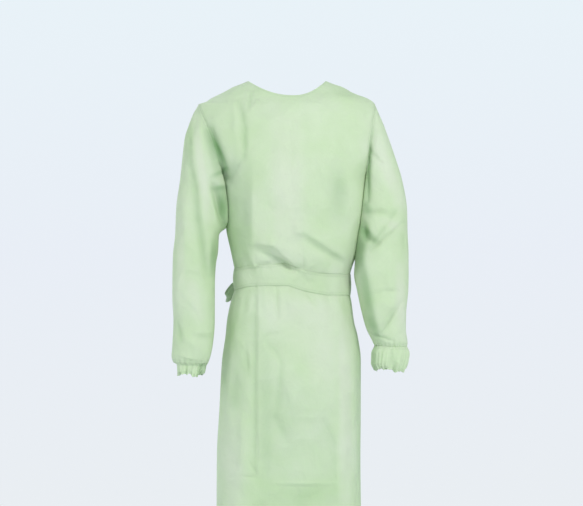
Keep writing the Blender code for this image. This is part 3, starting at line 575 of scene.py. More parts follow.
def armhole(z, side, hand):
    """Where the armhole's edge lies across, between the shoulder point and the underarm point."""
    down = np.clip((SHOULDER * MM - z) / ((SHOULDER - UNDERARM) * MM), 0, 1)
    inset = ARMHOLE_INSET[side, hand] * MM * np.sin(math.pi * down) ** ARMHOLE_ROUND
    return body_edge(z, hand) - hand * inset


def top_edge(share, side):
    """A panel's top edge, along the neck and the shoulder, by the share of its half width."""
    corner = NECK_SHARE
    neck = np.interp(share, [-corner, corner], [-NECK_LEFT * MM, NECK_RIGHT * MM])
    lowest = NECK_LOWEST * MM if side == FRONT else 0.0
    reach = np.where(neck < lowest, lowest + NECK_LEFT * MM, NECK_RIGHT * MM - lowest)
    curve = np.where(neck < lowest, NECK_CURVE[side, LEFT], NECK_CURVE[side, RIGHT])
    drop = -NECK_DROP[side] * MM * (1 - np.clip(np.abs(neck - lowest) / reach, 0, 1) ** curve)
    out = (np.abs(share) - corner) / (1 - corner)
    left = np.interp(out, [0, 1], [-NECK_LEFT * MM, body_edge(SHOULDER * MM, LEFT)])
    right = np.interp(out, [0, 1], [NECK_RIGHT * MM, body_edge(SHOULDER * MM, RIGHT)])
    shoulder = np.where(share < 0, left, right)
    at_neck = np.abs(share) <= corner
    return np.where(at_neck, neck, shoulder), np.where(at_neck, drop, shoulder_height(shoulder))


def belt_bend(x, z, side):
    """How far a row at a height bends up or down to lie along the belt."""
    middle = BELT_MIDDLE * MM
    if side == FRONT:
        line = smooth(BELT_SIZES["x"], BELT_SIZES["z"], x) - middle
    else:
        ends = BELT_SIZES["x"][[0, -1]]
        line = np.interp(x, ends, BELT_SIZES["z"][[0, -1]] - middle)
    return line * np.exp(-(((z - middle) / (BELT_REACH * MM)) ** 2))


def row_heights(steps):
    """Heights of a panel's rows from the underarm down."""
    heights = [steps[0][0]]
    for height, count in steps[1:]:
        heights += list(np.linspace(heights[-1], height, count + 1)[1:])
    return np.array(heights) * MM


def gather_height(angle, z, side):
    """The belt's gathers: uneven waves round the waist that die out above and below it."""
    wave = uneven_waves(GATHERS, angle, 1.7, 1)
    off_belt = np.maximum(np.abs(z - BELT_MIDDLE * MM) - (BELT_TOP - BELT_MIDDLE) * MM, 0)
    reach = GATHER_REACH * MM * (0.8 + 0.35 * np.sin(7 * angle + 0.6))
    fade = ease(off_belt / (0.2 * reach)) * np.exp(-((off_belt / reach) ** 2))
    return GATHER_HEIGHT[side] * MM * wave * fade


def panel_base(side, shares):
    """Outer points of a body panel before its creases, in rows from the neck and shoulder to the hem."""
    hand = np.sign(shares)
    turn = np.abs(shares) * math.pi / 2
    top_x, top_z = top_edge(shares, side)
    ring_x = hand * np.sin(turn) ** (2 / ROUNDNESS)
    ring_y = side * np.clip(np.cos(turn), 0, 1) ** (2 / ROUNDNESS)
    rows = []
    middle, half = body_ring(UNDERARM * MM, side)[:2]
    foot_x = middle + half * ring_x
    for i in range(TOP_ROWS):
        f = (1 - math.cos(math.pi * i / TOP_ROWS)) / 2
        z = top_z + (UNDERARM * MM - top_z) * f
        x = top_x + (foot_x - top_x) * f
        for edge in (LEFT, RIGHT):
            edge_z = (SHOULDER + (UNDERARM - SHOULDER) * f) * MM
            edge_x = body_edge(SHOULDER * MM, edge) * (1 - f) + body_edge(UNDERARM * MM, edge) * f
            bow = armhole(edge_z, side, edge) - edge_x
            x = x + np.where(hand == edge, bow * np.abs(shares) ** 3, 0)
        rows.append(np.stack([x, body_depth(x, z, side), z], axis=1))
    rows[0][np.abs(shares) >= NECK_SHARE, 1] = 0  # the shoulder seam lies on the ridge
    for z in row_heights(ROW_STEPS):
        middle, half, depth = body_ring(z, side)
        x = middle + half * ring_x
        rows.append(np.stack([x, depth * ring_y, z + belt_bend(x, z, side)], axis=1))
    return np.array(rows)


def panel_outer(side, shares, creases, tones):
    """Outer points of a body panel with its creases and gathers, and the shade and highlight painted into its
    cloth's colour at each.
    """
    grid = panel_base(side, shares)
    normals = grid_normals(grid, ring=False)
    x, y, z = np.moveaxis(grid, 2, 0)
    down = np.clip((SHOULDER * MM - z) / ((SHOULDER - UNDERARM) * MM), 0, 1)
    free_edge = np.sqrt(np.clip(np.sin(math.pi * down), 0, 1))  # the armhole's seam may dip with the cloth
    inside = 1 - np.abs(shares)[None, :] ** 6 * (1 - free_edge)
    height = crease_height(creases, x, z) * inside
    height += gather_height(np.arctan2(y, x), z, side) * inside
    settle = ease(np.arange(len(grid)) / 8)[:, None]  # the top edge stays in its seam
    height = height * settle
    # painted shade and painted highlight from the tone tables, and painted shade in the troughs
    tone = np.clip(by_lines(tones, x, z), -1, 1) + painted_trough_shade(height)
    return grid + normals * CREASE_LIFT * height[..., None], tone


def lap_over(grid, shares):
    """The outer back panel, moved out where it lies on the inner one."""
    start, end = LAP_RAMP
    lift = LAP_GAP * ease((shares + start) / (start - end))
    return grid + grid_normals(grid, ring=False) * lift[None, :, None]


def half_shares(neck_cells, shoulder_cells):
    """Shares of a panel's half width from the middle to the side, with a column at the side-neck point."""
    neck = NECK_SHARE * np.linspace(0, 1, neck_cells + 1) ** NECK_SPREAD
    return np.concatenate([neck, np.linspace(NECK_SHARE, 1, shoulder_cells + 1)[1:]])


def panel_shares(side, hand=0):
    """A panel's columns, in order from left to right seen from outside."""
    if side == FRONT:
        half = half_shares(NECK_CELLS, SHOULDER_CELLS)
        return np.concatenate([-half[:0:-1], half])
    half = half_shares(BACK_NECK_CELLS, BACK_SHOULDER_CELLS)
    lap = OVERLAP * (np.arange(1, LAP_CELLS + 1) / LAP_CELLS) ** NECK_SPREAD
    shares = np.concatenate([-lap[::-1], half])
    return shares[::-1] if hand == RIGHT else -shares


def panel_points(side, hand=0):
    """Outer and inner points of a body panel, kept on its own side of the seams, and its painted shade and
    highlight.
    """
    shares = panel_shares(side, hand)
    creases, tones = (FRONT_CREASES, FRONT_TONES) if side == FRONT else (BACK_CREASES, BACK_TONES)
    outer, tone = panel_outer(side, shares, creases, tones)
    if (side, hand) == (BACK, LEFT):
        outer = lap_over(outer, shares)
    inner = outer - grid_normals(outer, ring=False) * SHEET
    for grid in (outer, inner):
        grid[..., 1] = side * np.maximum(side * grid[..., 1], SEAM / 2)
    return outer, inner, tone


# ---------------------------------------------------------------- sleeves and cuffs


def ring_points(sizes, stations, turns, hand):
    """Rings worked out from a table at places between its rows, with a point at each turn round them."""
    at = np.arange(len(sizes["outer_x"]))
    row = {name: smooth(at, column, stations)[:, None] for name, column in sizes.items()}
    across, deep = np.cos(turns), np.sin(turns)
    across = np.sign(across) * np.abs(across) ** (2 / ROUNDNESS)
    deep = hand * np.sign(deep) * np.abs(deep) ** (2 / ROUNDNESS)
    middle_x, half_x = (row["outer_x"] + row["inner_x"]) / 2, (row["outer_x"] - row["inner_x"]) / 2
    middle_z, half_z = (row["outer_z"] + row["inner_z"]) / 2, (row["outer_z"] - row["inner_z"]) / 2
    y = row["middle_y"] + row["half_depth"] * deep
    return np.stack([middle_x + half_x * across, y, middle_z + half_z * across], axis=2)


def armhole_frame(front, back, hand):
    """The armhole's edge, from the shoulder all round: outer points, normals and the ways off the edge."""
    column_front, column_back = (0, -1) if hand == LEFT else (-1, 0)
    rows = slice(0, TOP_ROWS + 1)
    edge_front, edge_back = front[0][rows, column_front], back[0][rows, column_back]
    normal_front = unit(edge_front - front[1][rows, column_front])
    normal_back = unit(edge_back - back[1][rows, column_back])
    ends = (edge_front[[0, -1]] + edge_back[[0, -1]]) / 2
    end_normals = unit(normal_front[[0, -1]] + normal_back[[0, -1]])
    first, second = (edge_front, edge_back) if hand == LEFT else (edge_back, edge_front)
    n_first, n_second = (normal_front, normal_back) if hand == LEFT else (normal_back, normal_front)
    points = np.concatenate([ends[:1], first[1:-1], ends[1:], second[-2:0:-1]])
    normals = np.concatenate([end_normals[:1], n_first[1:-1], end_normals[1:], n_second[-2:0:-1]])
    along = np.roll(points, -1, axis=0) - np.roll(points, 1, axis=0)
    return points, normals, unit(np.cross(along, normals))


def clear_of_body(points):
    """Points of a sleeve, pushed out across until they are just clear of the body."""
    x, y, z = np.moveaxis(points, -1, 0)
    hand = np.sign(x)
    below = z < (UNDERARM + ARMHOLE_FLOOR) * MM
    narrowing = ease((UNDERARM * MM - z) / (CLEAR_FADE * MM))
    clear = (CLEAR_AT_UNDERARM + (CLEAR_BELOW - CLEAR_AT_UNDERARM) * narrowing) * MM
    for side in (FRONT, BACK):
        middle, half, depth = body_ring(z, side)
        share = np.clip(np.abs(y) / depth, 0, 1)
        reach = half * (1 - share**ROUNDNESS) ** (1 / ROUNDNESS) + clear
        limit = middle + hand * reach
        inside = below & (y * side >= 0) & (hand * x < hand * limit)
        x = np.where(inside, limit, x)
    return np.stack([x, y, z], axis=-1)


def wrist_gathers(turns, stations):
    """Small gathers that the elastic draws into the sleeve's end."""
    reach = 1.6 + 0.6 * np.sin(4 * turns + 1)
    rise = ease(1 - (stations[-1] - stations)[:, None] / reach)
    return WRIST_GATHER_HEIGHT * MM * uneven_waves(WRIST_GATHERS, turns, 1.4, 2) * rise


def mirrored(table, hand):
    """A table given on the right side, turned over for the left one."""
    if hand == RIGHT:
        return table
    return [(-x1, z1, -x0, z0, *rest) for x0, z0, x1, z1, *rest in table]


def sleeve_points(table, creases, tones, front, back, hand):
    """Outer and inner points of a sleeve, from the armhole to the gathered wrist, and its painted shade and
    highlight.
    """
    sizes = columns(SLEEVE_COLUMNS, table)
    stations = (len(table) - 1) * np.linspace(0, 1, SLEEVE_ROWS + 1) ** 1.05
    turns = np.linspace(0, 2 * math.pi, 2 * TOP_ROWS, endpoint=False)
    outer = ring_points(sizes, stations, turns, hand)
    edge, edge_normals, off_edge = armhole_frame(front, back, hand)
    start = edge - off_edge * SEAM_TUCK - edge_normals * SEAM
    blend = np.clip(1 - stations / ARMHOLE_BLEND, 0, 1)[:, None, None] ** 2
    outer = outer + (start - outer[0]) * blend
    normals = grid_normals(outer, ring=True)
    x, z = outer[..., 0], outer[..., 2]
    in_front, behind = ease(-normals[..., 1] * 2), ease(normals[..., 1] * 2)
    height = crease_height(creases, x, z) * in_front
    height += crease_height(mirrored(SLEEVE_BACK_CREASES, hand), x, z) * behind
    settle = ease(np.minimum(stations / 0.5, stations[-1] - stations))[:, None]
    height = height * settle
    # painted shade and painted highlight from the tone tables, on the sleeve's front and back, and painted
    # shade in its troughs
    tone = by_lines(tones, x, z) * ease(0.2 - normals[..., 1] * 2)
    tone += by_lines(mirrored(SLEEVE_BACK_TONES, hand), x, z) * behind
    tone = np.clip(tone, -1, 1) + painted_trough_shade(height)
    outer = outer + normals * CREASE_LIFT * height[..., None]
    outer = outer + normals * wrist_gathers(turns, stations)[..., None]
    outer[1:] = clear_of_body(outer[1:])
    normals = grid_normals(outer, ring=True)
    into_panel = np.maximum((normals[0] * off_edge).sum(1, keepdims=True), 0)
    normals[0] = unit(normals[0] - into_panel * off_edge)
    return outer, outer - normals * SHEET, tone


def split_ring(ring, times):
    """More points round a ring, on the straight lines between its own."""
    steps = [ring + (np.roll(ring, -1, axis=0) - ring) * k / times for k in range(times)]
    return np.stack(steps, axis=1).reshape(-1, 3)


def cuff_points(table, sleeve, hand):
    """Outer and inner points of a cuff: it starts on the sleeve's end and gathers into a ruffle."""
    sizes = columns(CUFF_COLUMNS, table)
    stations = np.linspace(0, len(table) - 1, CUFF_ROWS + 1)
    turns = np.linspace(0, 2 * math.pi, 2 * TOP_ROWS * CUFF_SPLIT, endpoint=False)
    outer = ring_points(sizes, stations, turns, hand)
    waves = smooth(np.arange(len(table)), sizes["wave"], stations)[:, None]
    radial = unit((outer - outer.mean(axis=1, keepdims=True)) * [1, 1, 0])
    down_cuff = (stations / stations[-1])[:, None]
    drift = 1.3 * np.sin(2.2 * down_cuff + 3 * turns) + 0.8 * np.sin(5 * turns + hand)
    ripple = np.sin(CUFF_WAVES * turns + drift) * (0.6 + 0.4 * np.sin(4 * turns + 1.7 * hand))
    ripple = ripple + 0.35 * np.sin(23 * turns + 1.8 * np.sin(3 * turns) + 2 * down_cuff)
    dips = 0.9 * np.sin(3 * turns + hand) + 0.6 * np.sin(8 * turns + 2) + 0.55 * np.sin(17 * turns + 0.7)
    start = ring_points(sizes, stations[:1], turns, hand)[0]
    height = waves * ripple
    outer = outer + radial * height[..., None]
    outer[..., 2] += CUFF_RAGGED * waves * dips * down_cuff**2
    end_outer, end_inner = split_ring(sleeve[0][-1], CUFF_SPLIT), split_ring(sleeve[1][-1], CUFF_SPLIT)
    down = unit(end_outer - split_ring(sleeve[0][-2], CUFF_SPLIT)) * [0.3, 0.3, 1]
    seam_ring = end_outer + unit(down) * SEAM
    outer = outer + (seam_ring - start) * (1 - ease(stations))[:, None, None]
    inner = outer - grid_normals(outer, ring=True) * SHEET
    inner[0] = end_inner + unit(down) * SEAM
    # painted shade: the cuff darker nearer the body and in its ruffle's troughs
    painted_shade_near_body = ease((outer[..., 0] * hand - CUFF_DARK_EDGE * MM) / (-CUFF_DARK_FADE * MM)) * 0.3
    return outer, inner, painted_trough_shade(height * 2) + painted_shade_near_body


# ---------------------------------------------------------------- belt and ties


def belt_points(front, left_back, right_back):
    """Outer and inner points of the belt: the panels' own points at the waist, moved out."""
    first = TOP_ROWS + sum(count for height, count in ROW_STEPS[1:] if height >= BELT_TOP)
    count = sum(count for height, count in ROW_STEPS if BELT_BOTTOM <= height < BELT_TOP)
    rows = slice(first, first + count + 1)
    shares, base = panel_shares(BACK, LEFT), left_back[0][rows]

    def column_at(share):
        k = np.searchsorted(-shares, -share) - 1
        f = (shares[k] - share) / (shares[k] - shares[k + 1])
        return base[:, k] * (1 - f) + base[:, k + 1] * f

    def columns_where(panel, chosen):
        return [panel[:, k] for k in np.flatnonzero(chosen)]

    start, end = BELT_GAP
    after_gap = [column_at(start)] + columns_where(base, shares < start)
    before_gap = columns_where(base, shares > end) + [column_at(end)]
    clear_of_lap = panel_shares(BACK, RIGHT) > OVERLAP + 0.01
    over_right = columns_where(right_back[0][rows], clear_of_lap)
    path = after_gap[:-1] + list(np.moveaxis(front[0][rows], 1, 0)) + over_right[1:] + before_gap
    grid = np.stack(path, axis=1)
    normals = grid_normals(grid, ring=False)
    run = run_lengths(grid, axis=1)
    down = np.linspace(0, 1, len(grid))[:, None]
    rise = np.sin(math.pi * down)
    rumple = np.sin(run / (19 * MM) + 2 * np.sin(run / (71 * MM)) + 3 * down)
    height = (BELT_CROWN + BELT_RUMPLE * rumple) * rise * MM
    inner = grid + normals * (SEAM + height[..., None])
    wall = (BELT_EDGE_WALL + (BELT_WALL - BELT_EDGE_WALL) * rise) * MM
    return inner + normals * wall[..., None], inner, np.zeros_like(height)


def path_curve(places, count):
    """Evenly numbered points on a smooth curve through a few places."""
    places = np.array(places, float) * MM
    at = np.linspace(0, len(places) - 1, count)
    i = np.minimum(at.astype(int), len(places) - 2)
    f = (at - i)[:, None]
    padded = np.concatenate([2 * places[:1] - places[1:2], places, 2 * places[-1:] - places[-2:-1]])
    a, b, c, d = (padded[i + k] for k in range(4))
    return 0.5 * (2 * b + (c - a) * f + (2 * a - 5 * b + 4 * c - d) * f**2 + (3 * b - a - 3 * c + d) * f**3)


def on_back(x, z, lift):
    """A place on the back in millimetres, a little way out from the body's rings."""
    y = body_depth(np.array(x * MM), np.array(z * MM), BACK) / MM
    return (x, float(y) + lift, z)


def upright(path):
    """The width direction of a strip that stands on edge."""
    return np.tile([0.0, 0.0, 1.0], (len(path), 1))


def along_back(path):
    """The width direction of a strip that lies on the back, level with the cloth under it."""
    step = 8 * MM
    x, z = path[:, 0], path[:, 2]
    rise = body_depth(x + step, z, BACK) - body_depth(x - step, z, BACK)
    return np.stack([np.full_like(x, 2 * step), rise, np.zeros_like(x)], axis=1)


def knot_frame(belt):
    """The knot's middle in millimetres, on the belt's two ends, and the ways along and out from the belt."""
    middle = len(belt[0]) // 2
    first, last = belt[1][middle, 0], belt[1][middle, -1]
    along = unit((last - first) * [1, 1, 0])
    out = np.array([-along[1], along[0], 0])
    seat = (first + last) / 2 / MM
    return seat + out * (KNOT_HALF[1] + TIE_SEAT), along, out


def hanging_end(start, hand, steps, lift):
    """A tie end's route: from the knot down the back, going sideways to one hand."""
    return [start] + [on_back(start[0] + hand * s, start[2] - d, lift) for s, d in steps]


# ---------------------------------------------------------------- cloth


def fill(tree, socket, value):
    """Gives a shader node's socket a value, or another node's output."""
    if isinstance(value, bpy.types.NodeSocket):
        tree.links.new(value, socket)
    else:
        socket.default_value = value


def add_node(tree, kind, settings=None, **sockets):
    """A shader node with its settings and its named sockets."""
    made = tree.nodes.new(kind)
    for name, value in (settings or {}).items():
        setattr(made, name, value)
    for name, value in sockets.items():
        fill(tree, made.inputs[name], value)
    return made


def maths(tree, operation, *values, clamp=False):
    made = add_node(tree, "ShaderNodeMath", {"operation": operation, "use_clamp": clamp})
    for socket, value in zip(made.inputs, values):
        fill(tree, socket, value)
    return made.outputs[0]


def mixed(tree, share, first, second, blend="MIX"):
    """A colour between two, by a share. The node's colour sockets are its inputs 6 and 7."""
    made = add_node(tree, "ShaderNodeMix", {"data_type": "RGBA", "blend_type": blend})
    for i, value in ((0, share), (6, first), (7, second)):
        fill(tree, made.inputs[i], value)
    return made.outputs[2]


def noise(tree, place, scale, detail, roughness=0.5, distortion=0.0):
    settings = {"Scale": scale, "Detail": detail, "Roughness": roughness, "Distortion": distortion}
    return add_node(tree, "ShaderNodeTexNoise", Vector=place, **settings).outputs["Fac"]


def attribute(tree, name):
    return add_node(tree, "ShaderNodeAttribute", {"attribute_name": name}).outputs["Fac"]


STITCH_OFF_EDGE, STITCH_LENGTH, STITCH_HALF_WIDTH = 6 * MM, 3.6 * MM, 0.45 * MM
STITCH_THREAD = 0.72  # share of a stitch's length that its thread shows
ALLOWANCE = 9 * MM  # how wide the cloth is doubled along a seam
ALLOWANCE_EDGE = 6.0  # how sharply the doubled cloth ends
FIBRE_SCALE = (900.0, 900.0, 260.0)
# DEEP_GREEN darkens the colour for painted shade and for the seams' doubled cloth, stitches and bond dots;
# PALE_GREY_GREEN is the colour of painted highlight
DEEP_GREEN = (0.30, 0.53, 0.27, 1.0)
PALE_GREY_GREEN = (0.94, 0.92, 0.86, 1.0)


def seam_fields(tree):
    """Where the cloth is doubled along a seam, and where its row of stitches shows."""
    off_edge, along = attribute(tree, "off_seam"), attribute(tree, "along_seam")
    allowance = maths(tree, "SUBTRACT", 1.0, maths(tree, "DIVIDE", off_edge, ALLOWANCE), clamp=True)
    allowance = maths(tree, "MULTIPLY", allowance, ALLOWANCE_EDGE, clamp=True)
    off_line = maths(tree, "ABSOLUTE", maths(tree, "SUBTRACT", off_edge, STITCH_OFF_EDGE))
    on_line = maths(tree, "LESS_THAN", off_line, STITCH_HALF_WIDTH)
    in_stitch = maths(tree, "FRACT", maths(tree, "DIVIDE", along, STITCH_LENGTH))
    on_thread = maths(tree, "LESS_THAN", in_stitch, STITCH_THREAD)
    return allowance, maths(tree, "MULTIPLY", on_line, on_thread)


def gown_material(name, light, deep, glow, sheer):
    """Thin non-woven cloth: uneven tone, shade and highlight painted from the pieces' tone, bonded dots and
    fibres, faint crumples, seams with stitches.
    """
    material = bpy.data.materials.new(name)
    material.use_nodes = True
    tree = material.node_tree
    shader = tree.nodes["Principled BSDF"]
    place = add_node(tree, "ShaderNodeTexCoord").outputs["Object"]
    stretched = add_node(tree, "ShaderNodeMapping", Vector=place, Scale=FIBRE_SCALE).outputs[0]
    cloudy = noise(tree, place, 9.0, 3.0)
    fibres = noise(tree, stretched, 1.0, 4.0, 0.7)
    rumples = noise(tree, place, 34.0, 5.0, 0.55, 0.6)
    dots = add_node(tree, "ShaderNodeTexVoronoi", Vector=place, Scale=620.0, Randomness=0.35)
    smooth_cells = {"feature": "SMOOTH_F1"}
    facets = add_node(tree, "ShaderNodeTexVoronoi", smooth_cells, Vector=place, Scale=17.0, Smoothness=0.35)
    dots, facets = dots.outputs["Distance"], facets.outputs["Distance"]
    allowance, stitches = seam_fields(tree)
    # the pieces' tone: painted shade, and painted highlight where it is under zero
    painted_shade_and_light = attribute(tree, "tone")

    tone = maths(tree, "MULTIPLY_ADD", maths(tree, "SUBTRACT", cloudy, 0.5), 2.2, 0.45, clamp=True)
    colour = mixed(tree, tone, light, deep)
    # painted highlight: paler and greyer where the tone is under zero
    colour = mixed(tree, maths(tree, "MULTIPLY", painted_shade_and_light, -1.0, clamp=True), colour, PALE_GREY_GREEN)
    gaps = maths(tree, "SUBTRACT", 0.45, dots, clamp=True)
    # painted shade darkens and greens the colour by the tone; the seams' doubled cloth, stitches and bond
    # dots darken it too
    for field, most in ((painted_shade_and_light, 1.0), (allowance, 0.03), (stitches, 0.16), (gaps, 0.18)):
        share = maths(tree, "MULTIPLY", field, most, clamp=True)
        colour = mixed(tree, share, colour, DEEP_GREEN, blend="MULTIPLY")

    relief = 0.0
    for field, height in (
        (facets, 0.016),
        (rumples, 0.0045),
        (fibres, 0.00012),
        (dots, -0.00008),
        (allowance, 0.0003),
        (stitches, -0.0003),
    ):
        relief = maths(tree, "MULTIPLY_ADD", field, height, relief)
    bump = add_node(tree, "ShaderNodeBump", Height=relief, Strength=0.55, Distance=1.0).outputs[0]

    tree.links.new(colour, shader.inputs["Base Color"])
    tree.links.new(bump, shader.inputs["Normal"])
    shader.inputs["Roughness"].default_value = 0.72
    shader.inputs["Specular IOR Level"].default_value = 0.28
    shader.inputs["Sheen Weight"].default_value = 0.12
    shader.inputs["Sheen Roughness"].default_value = 0.6
    lit = mixed(tree, 1.0, colour, glow, blend="MULTIPLY")
    through = add_node(tree, "ShaderNodeBsdfTranslucent", Color=lit, Normal=bump)
    both = add_node(tree, "ShaderNodeMixShader", Fac=sheer)
    tree.links.new(shader.outputs[0], both.inputs[1])
    tree.links.new(through.outputs[0], both.inputs[2])
    tree.links.new(both.outputs[0], tree.nodes["Material Output"].inputs["Surface"])
    return material


GOWN_CLOTH = gown_material(
    "pale green gown cloth", (0.82, 0.90, 0.71, 1.0), (0.73, 0.87, 0.58, 1.0), (0.88, 0.99, 0.84, 1.0), 0.32
)
# the ties' cloth: the gown's cloth painted darker, as in shade, and less sheer as doubled cloth
TIE_CLOTH = gown_material(
    "doubled tie cloth painted darker as in shade", (0.58, 0.69, 0.52, 1.0), (0.50, 0.62, 0.45, 1.0), (0.88, 0.97, 0.84, 1.0), 0.12
)


def run_lengths(grid, axis):
    """Length along a grid from its first row or column to each point."""
    steps = np.linalg.norm(np.diff(grid, axis=axis), axis=2)
    start = np.zeros_like(np.take(grid[..., 0], [0], axis=axis))
    return np.concatenate([start, np.cumsum(steps, axis=axis)], axis=axis)


def seam_places(grid, ring, seams):
    """Each point's distance to the nearest sewn or hemmed edge, and its length along that edge."""
    down, across = run_lengths(grid, 0), run_lengths(grid, 1)
    options = {"top": (down, across), "bottom": (down[-1:] - down, across)}
    if not ring:
        options["first"] = (across, down)
        options["last"] = (across[:, -1:] - across, down)
    nearest = np.stack([options[name][0] for name in seams])
    along = np.stack([options[name][1] for name in seams])
    pick = nearest.argmin(axis=0)[None]
    return np.take_along_axis(nearest, pick, 0)[0], np.take_along_axis(along, pick, 0)[0]


def grid_quads(rows, count, ring):
    """A face for each cell of a grid, facing out."""
    i = np.arange(rows - 1)[:, None] * count
    j = np.arange(count if ring else count - 1)[None, :]
    a, b = i + j, i + (j + 1) % count
    return np.stack([a, a + count, b + count, b], axis=2).reshape(-1, 4)


def wall_faces(rows, count, ring):
    """The faces of a closed wall between an outer and an inner grid."""
    size = rows * count
    outside = grid_quads(rows, count, ring)
    j = np.arange(count if ring else count - 1)
    k = (j + 1) % count
    last = (rows - 1) * count
    faces = [outside, outside[:, ::-1] + size]
    faces += [np.stack([j, k, k + size, j + size], 1)]
    faces += [np.stack([last + j, last + j + size, last + k + size, last + k], 1)]
    if not ring:
        a = np.arange(rows - 1) * count
        for edge, turned in ((a, False), (a + count - 1, True)):
            side = np.stack([edge, edge + size, edge + count + size, edge + count], 1)
            faces.append(side[:, ::-1] if turned else side)
    return np.concatenate(faces)


def new_piece(name, node, points, faces, fields, material):
    """A mesh that takes the place of its solid, with the fields that its material reads."""
    mesh = bpy.data.meshes.new(name)
    mesh.from_pydata(points.tolist(), [], faces)
    for field, values in zip(("tone", "off_seam", "along_seam"), fields):
        mesh.attributes.new(field, "FLOAT", "POINT").data.foreach_set("value", values)
    mesh.shade_smooth()
    mesh.materials.append(material)
    piece = bpy.data.objects.new(name, mesh)
    bpy.context.scene.collection.objects.link(piece)
    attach(piece, "root")
    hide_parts(node)
    return piece


def cloth_piece(name, node, points, ring, material, seams):
    """A thin closed shell of cloth that takes the place of its solid."""
    outer, inner, tone = points
    rows, count = outer.shape[:2]
    both = np.concatenate([outer.reshape(-1, 3), inner.reshape(-1, 3)])
    fields = [np.tile(values.ravel(), 2) for values in (tone, *seam_places(outer, ring, seams))]
    piece = new_piece(name, node, both, wall_faces(rows, count, ring).tolist(), fields, material)
    return piece


def strip_points(places, widths, lay, count, curl):
    """Outer and inner points of a folded strip of cloth along a path, a little curled and rumpled."""
    path = path_curve(places, count)
    tangent = unit(np.gradient(path, axis=0))
    wide = lay(path)
    wide = unit(wide - (tangent * wide).sum(1, keepdims=True) * tangent)
    thick = unit(np.cross(wide, tangent))
    spread = np.interp(np.linspace(0, 1, count), np.linspace(0, 1, len(widths)), widths)[:, None] * MM / 2
    across = np.linspace(-1, 1, TIE_CELLS + 1)[None, :]
    run = np.concatenate([[0], np.cumsum(np.linalg.norm(np.diff(path, axis=0), axis=1))])[:, None]
    fade = ease(run / (14 * MM)) * ease((run[-1] - run) / (6 * MM))
    rumple = 0.7 * np.sin(run / (9 * MM) + 2.2 * across) * np.sin(run / (31 * MM))
    packed = -1.0 * np.exp(-((((run / MM) % PACKET_FOLD) - PACKET_FOLD / 2) / PACKET_FOLD_HALF) ** 2)
    height = (curl * (1 - across**2) + (rumple + packed) * fade) * MM
    middle = path[:, None] + wide[:, None] * (spread * across)[..., None]
    half = TIE_WALL / 2 * MM * TIE_SHEET
    top = middle + thick[:, None] * (half + height)[..., None]
    under = middle + thick[:, None] * (height - half)[..., None]
    # painted shade in the strip's troughs
    return top[:, ::-1], under[:, ::-1], painted_trough_shade(height[:, ::-1] * TIE_TROUGHS)


def knot_piece(name, node, centre, half, along=(1, 0, 0)):
    """A pulled-tight knot: a rounded lump whose turns of cloth cross it on the slant."""
    along = np.array(along)
    out = np.array([-along[1], along[0], 0])
    level = np.linspace(-KNOT_END, KNOT_END, KNOT_ROWS)[:, None]
    turn = np.linspace(0, 2 * math.pi, KNOT_POINTS, endpoint=False)[None, :]
    swell = (1 - np.abs(level) ** 3) ** 0.5 * (0.92 - 0.08 * np.cos(3 * math.pi * level))
    slant = level * 2.2 - 0.5 * np.sin(turn + 0.6)
    grooves = -0.10 * np.exp(-((np.sin(slant * 2.6) / 0.35) ** 2)) + 0.03 * np.sin(9 * turn + 5 * level)
    swell = np.clip(swell + grooves, 0.05, 0.98)
    flat = (np.cos(turn) * half[0] * swell)[..., None] * along
    flat = flat + (np.sin(turn) * half[1] * swell)[..., None] * out
    points = (flat + level[..., None] * np.array([0, 0, half[2]]) + centre) * MM
    rows, count = points.shape[:2]
    ends = np.array([points[0].mean(0), points[-1].mean(0)])
    j = np.arange(count)
    k = (j + 1) % count
    size, last = rows * count, (rows - 1) * count
    faces = grid_quads(rows, count, ring=True)[:, ::-1].tolist()
    faces += np.stack([k, j, np.full(count, size)], 1).tolist()
    faces += np.stack([last + j, last + k, np.full(count, size + 1)], 1).tolist()
    points = np.concatenate([points.reshape(-1, 3), ends])
    # painted shade in the knot's grooves
    tone = np.clip(-np.append(grooves.ravel(), [0, 0]) * 3, 0, 0.4)
    no_seam = (np.ones(size + 2), np.zeros(size + 2))
    return new_piece(name, node, points, faces, (tone, *no_seam), TIE_CLOTH)


def make_gown():
    """The body, sleeves, cuffs and belt of the gown, and its ties at the back."""
    front = panel_points(FRONT)
    left_back = panel_points(BACK, LEFT)
    right_back = panel_points(BACK, RIGHT)
    edges = ("top", "bottom", "first", "last")
    for name, panel in (("front", front), ("left_back", left_back), ("right_back", right_back)):
        cloth_piece(f"{name}_panel_cloth", f"{name}_panel", panel, False, GOWN_CLOTH, edges)
    for name, hand, back, sizes, creases, tones, cuff_sizes in (
        ("left", LEFT, left_back, LEFT_SLEEVE, LEFT_SLEEVE_CREASES, LEFT_SLEEVE_TONES, LEFT_CUFF),
        ("right", RIGHT, right_back, RIGHT_SLEEVE, RIGHT_SLEEVE_CREASES, RIGHT_SLEEVE_TONES, RIGHT_CUFF),
    ):
        ends = ("top", "bottom")
        sleeve = sleeve_points(sizes, creases, tones, front, back, hand)
        cloth_piece(f"{name}_sleeve_cloth", f"{name}_sleeve", sleeve, True, GOWN_CLOTH, ends)
        cuff = cuff_points(cuff_sizes, sleeve, hand)
        cloth_piece(f"{name}_cuff_ruffle", f"{name}_cuff", cuff, True, GOWN_CLOTH, ends)
    make_belt(belt_points(front, left_back, right_back))
    make_neck_tie()


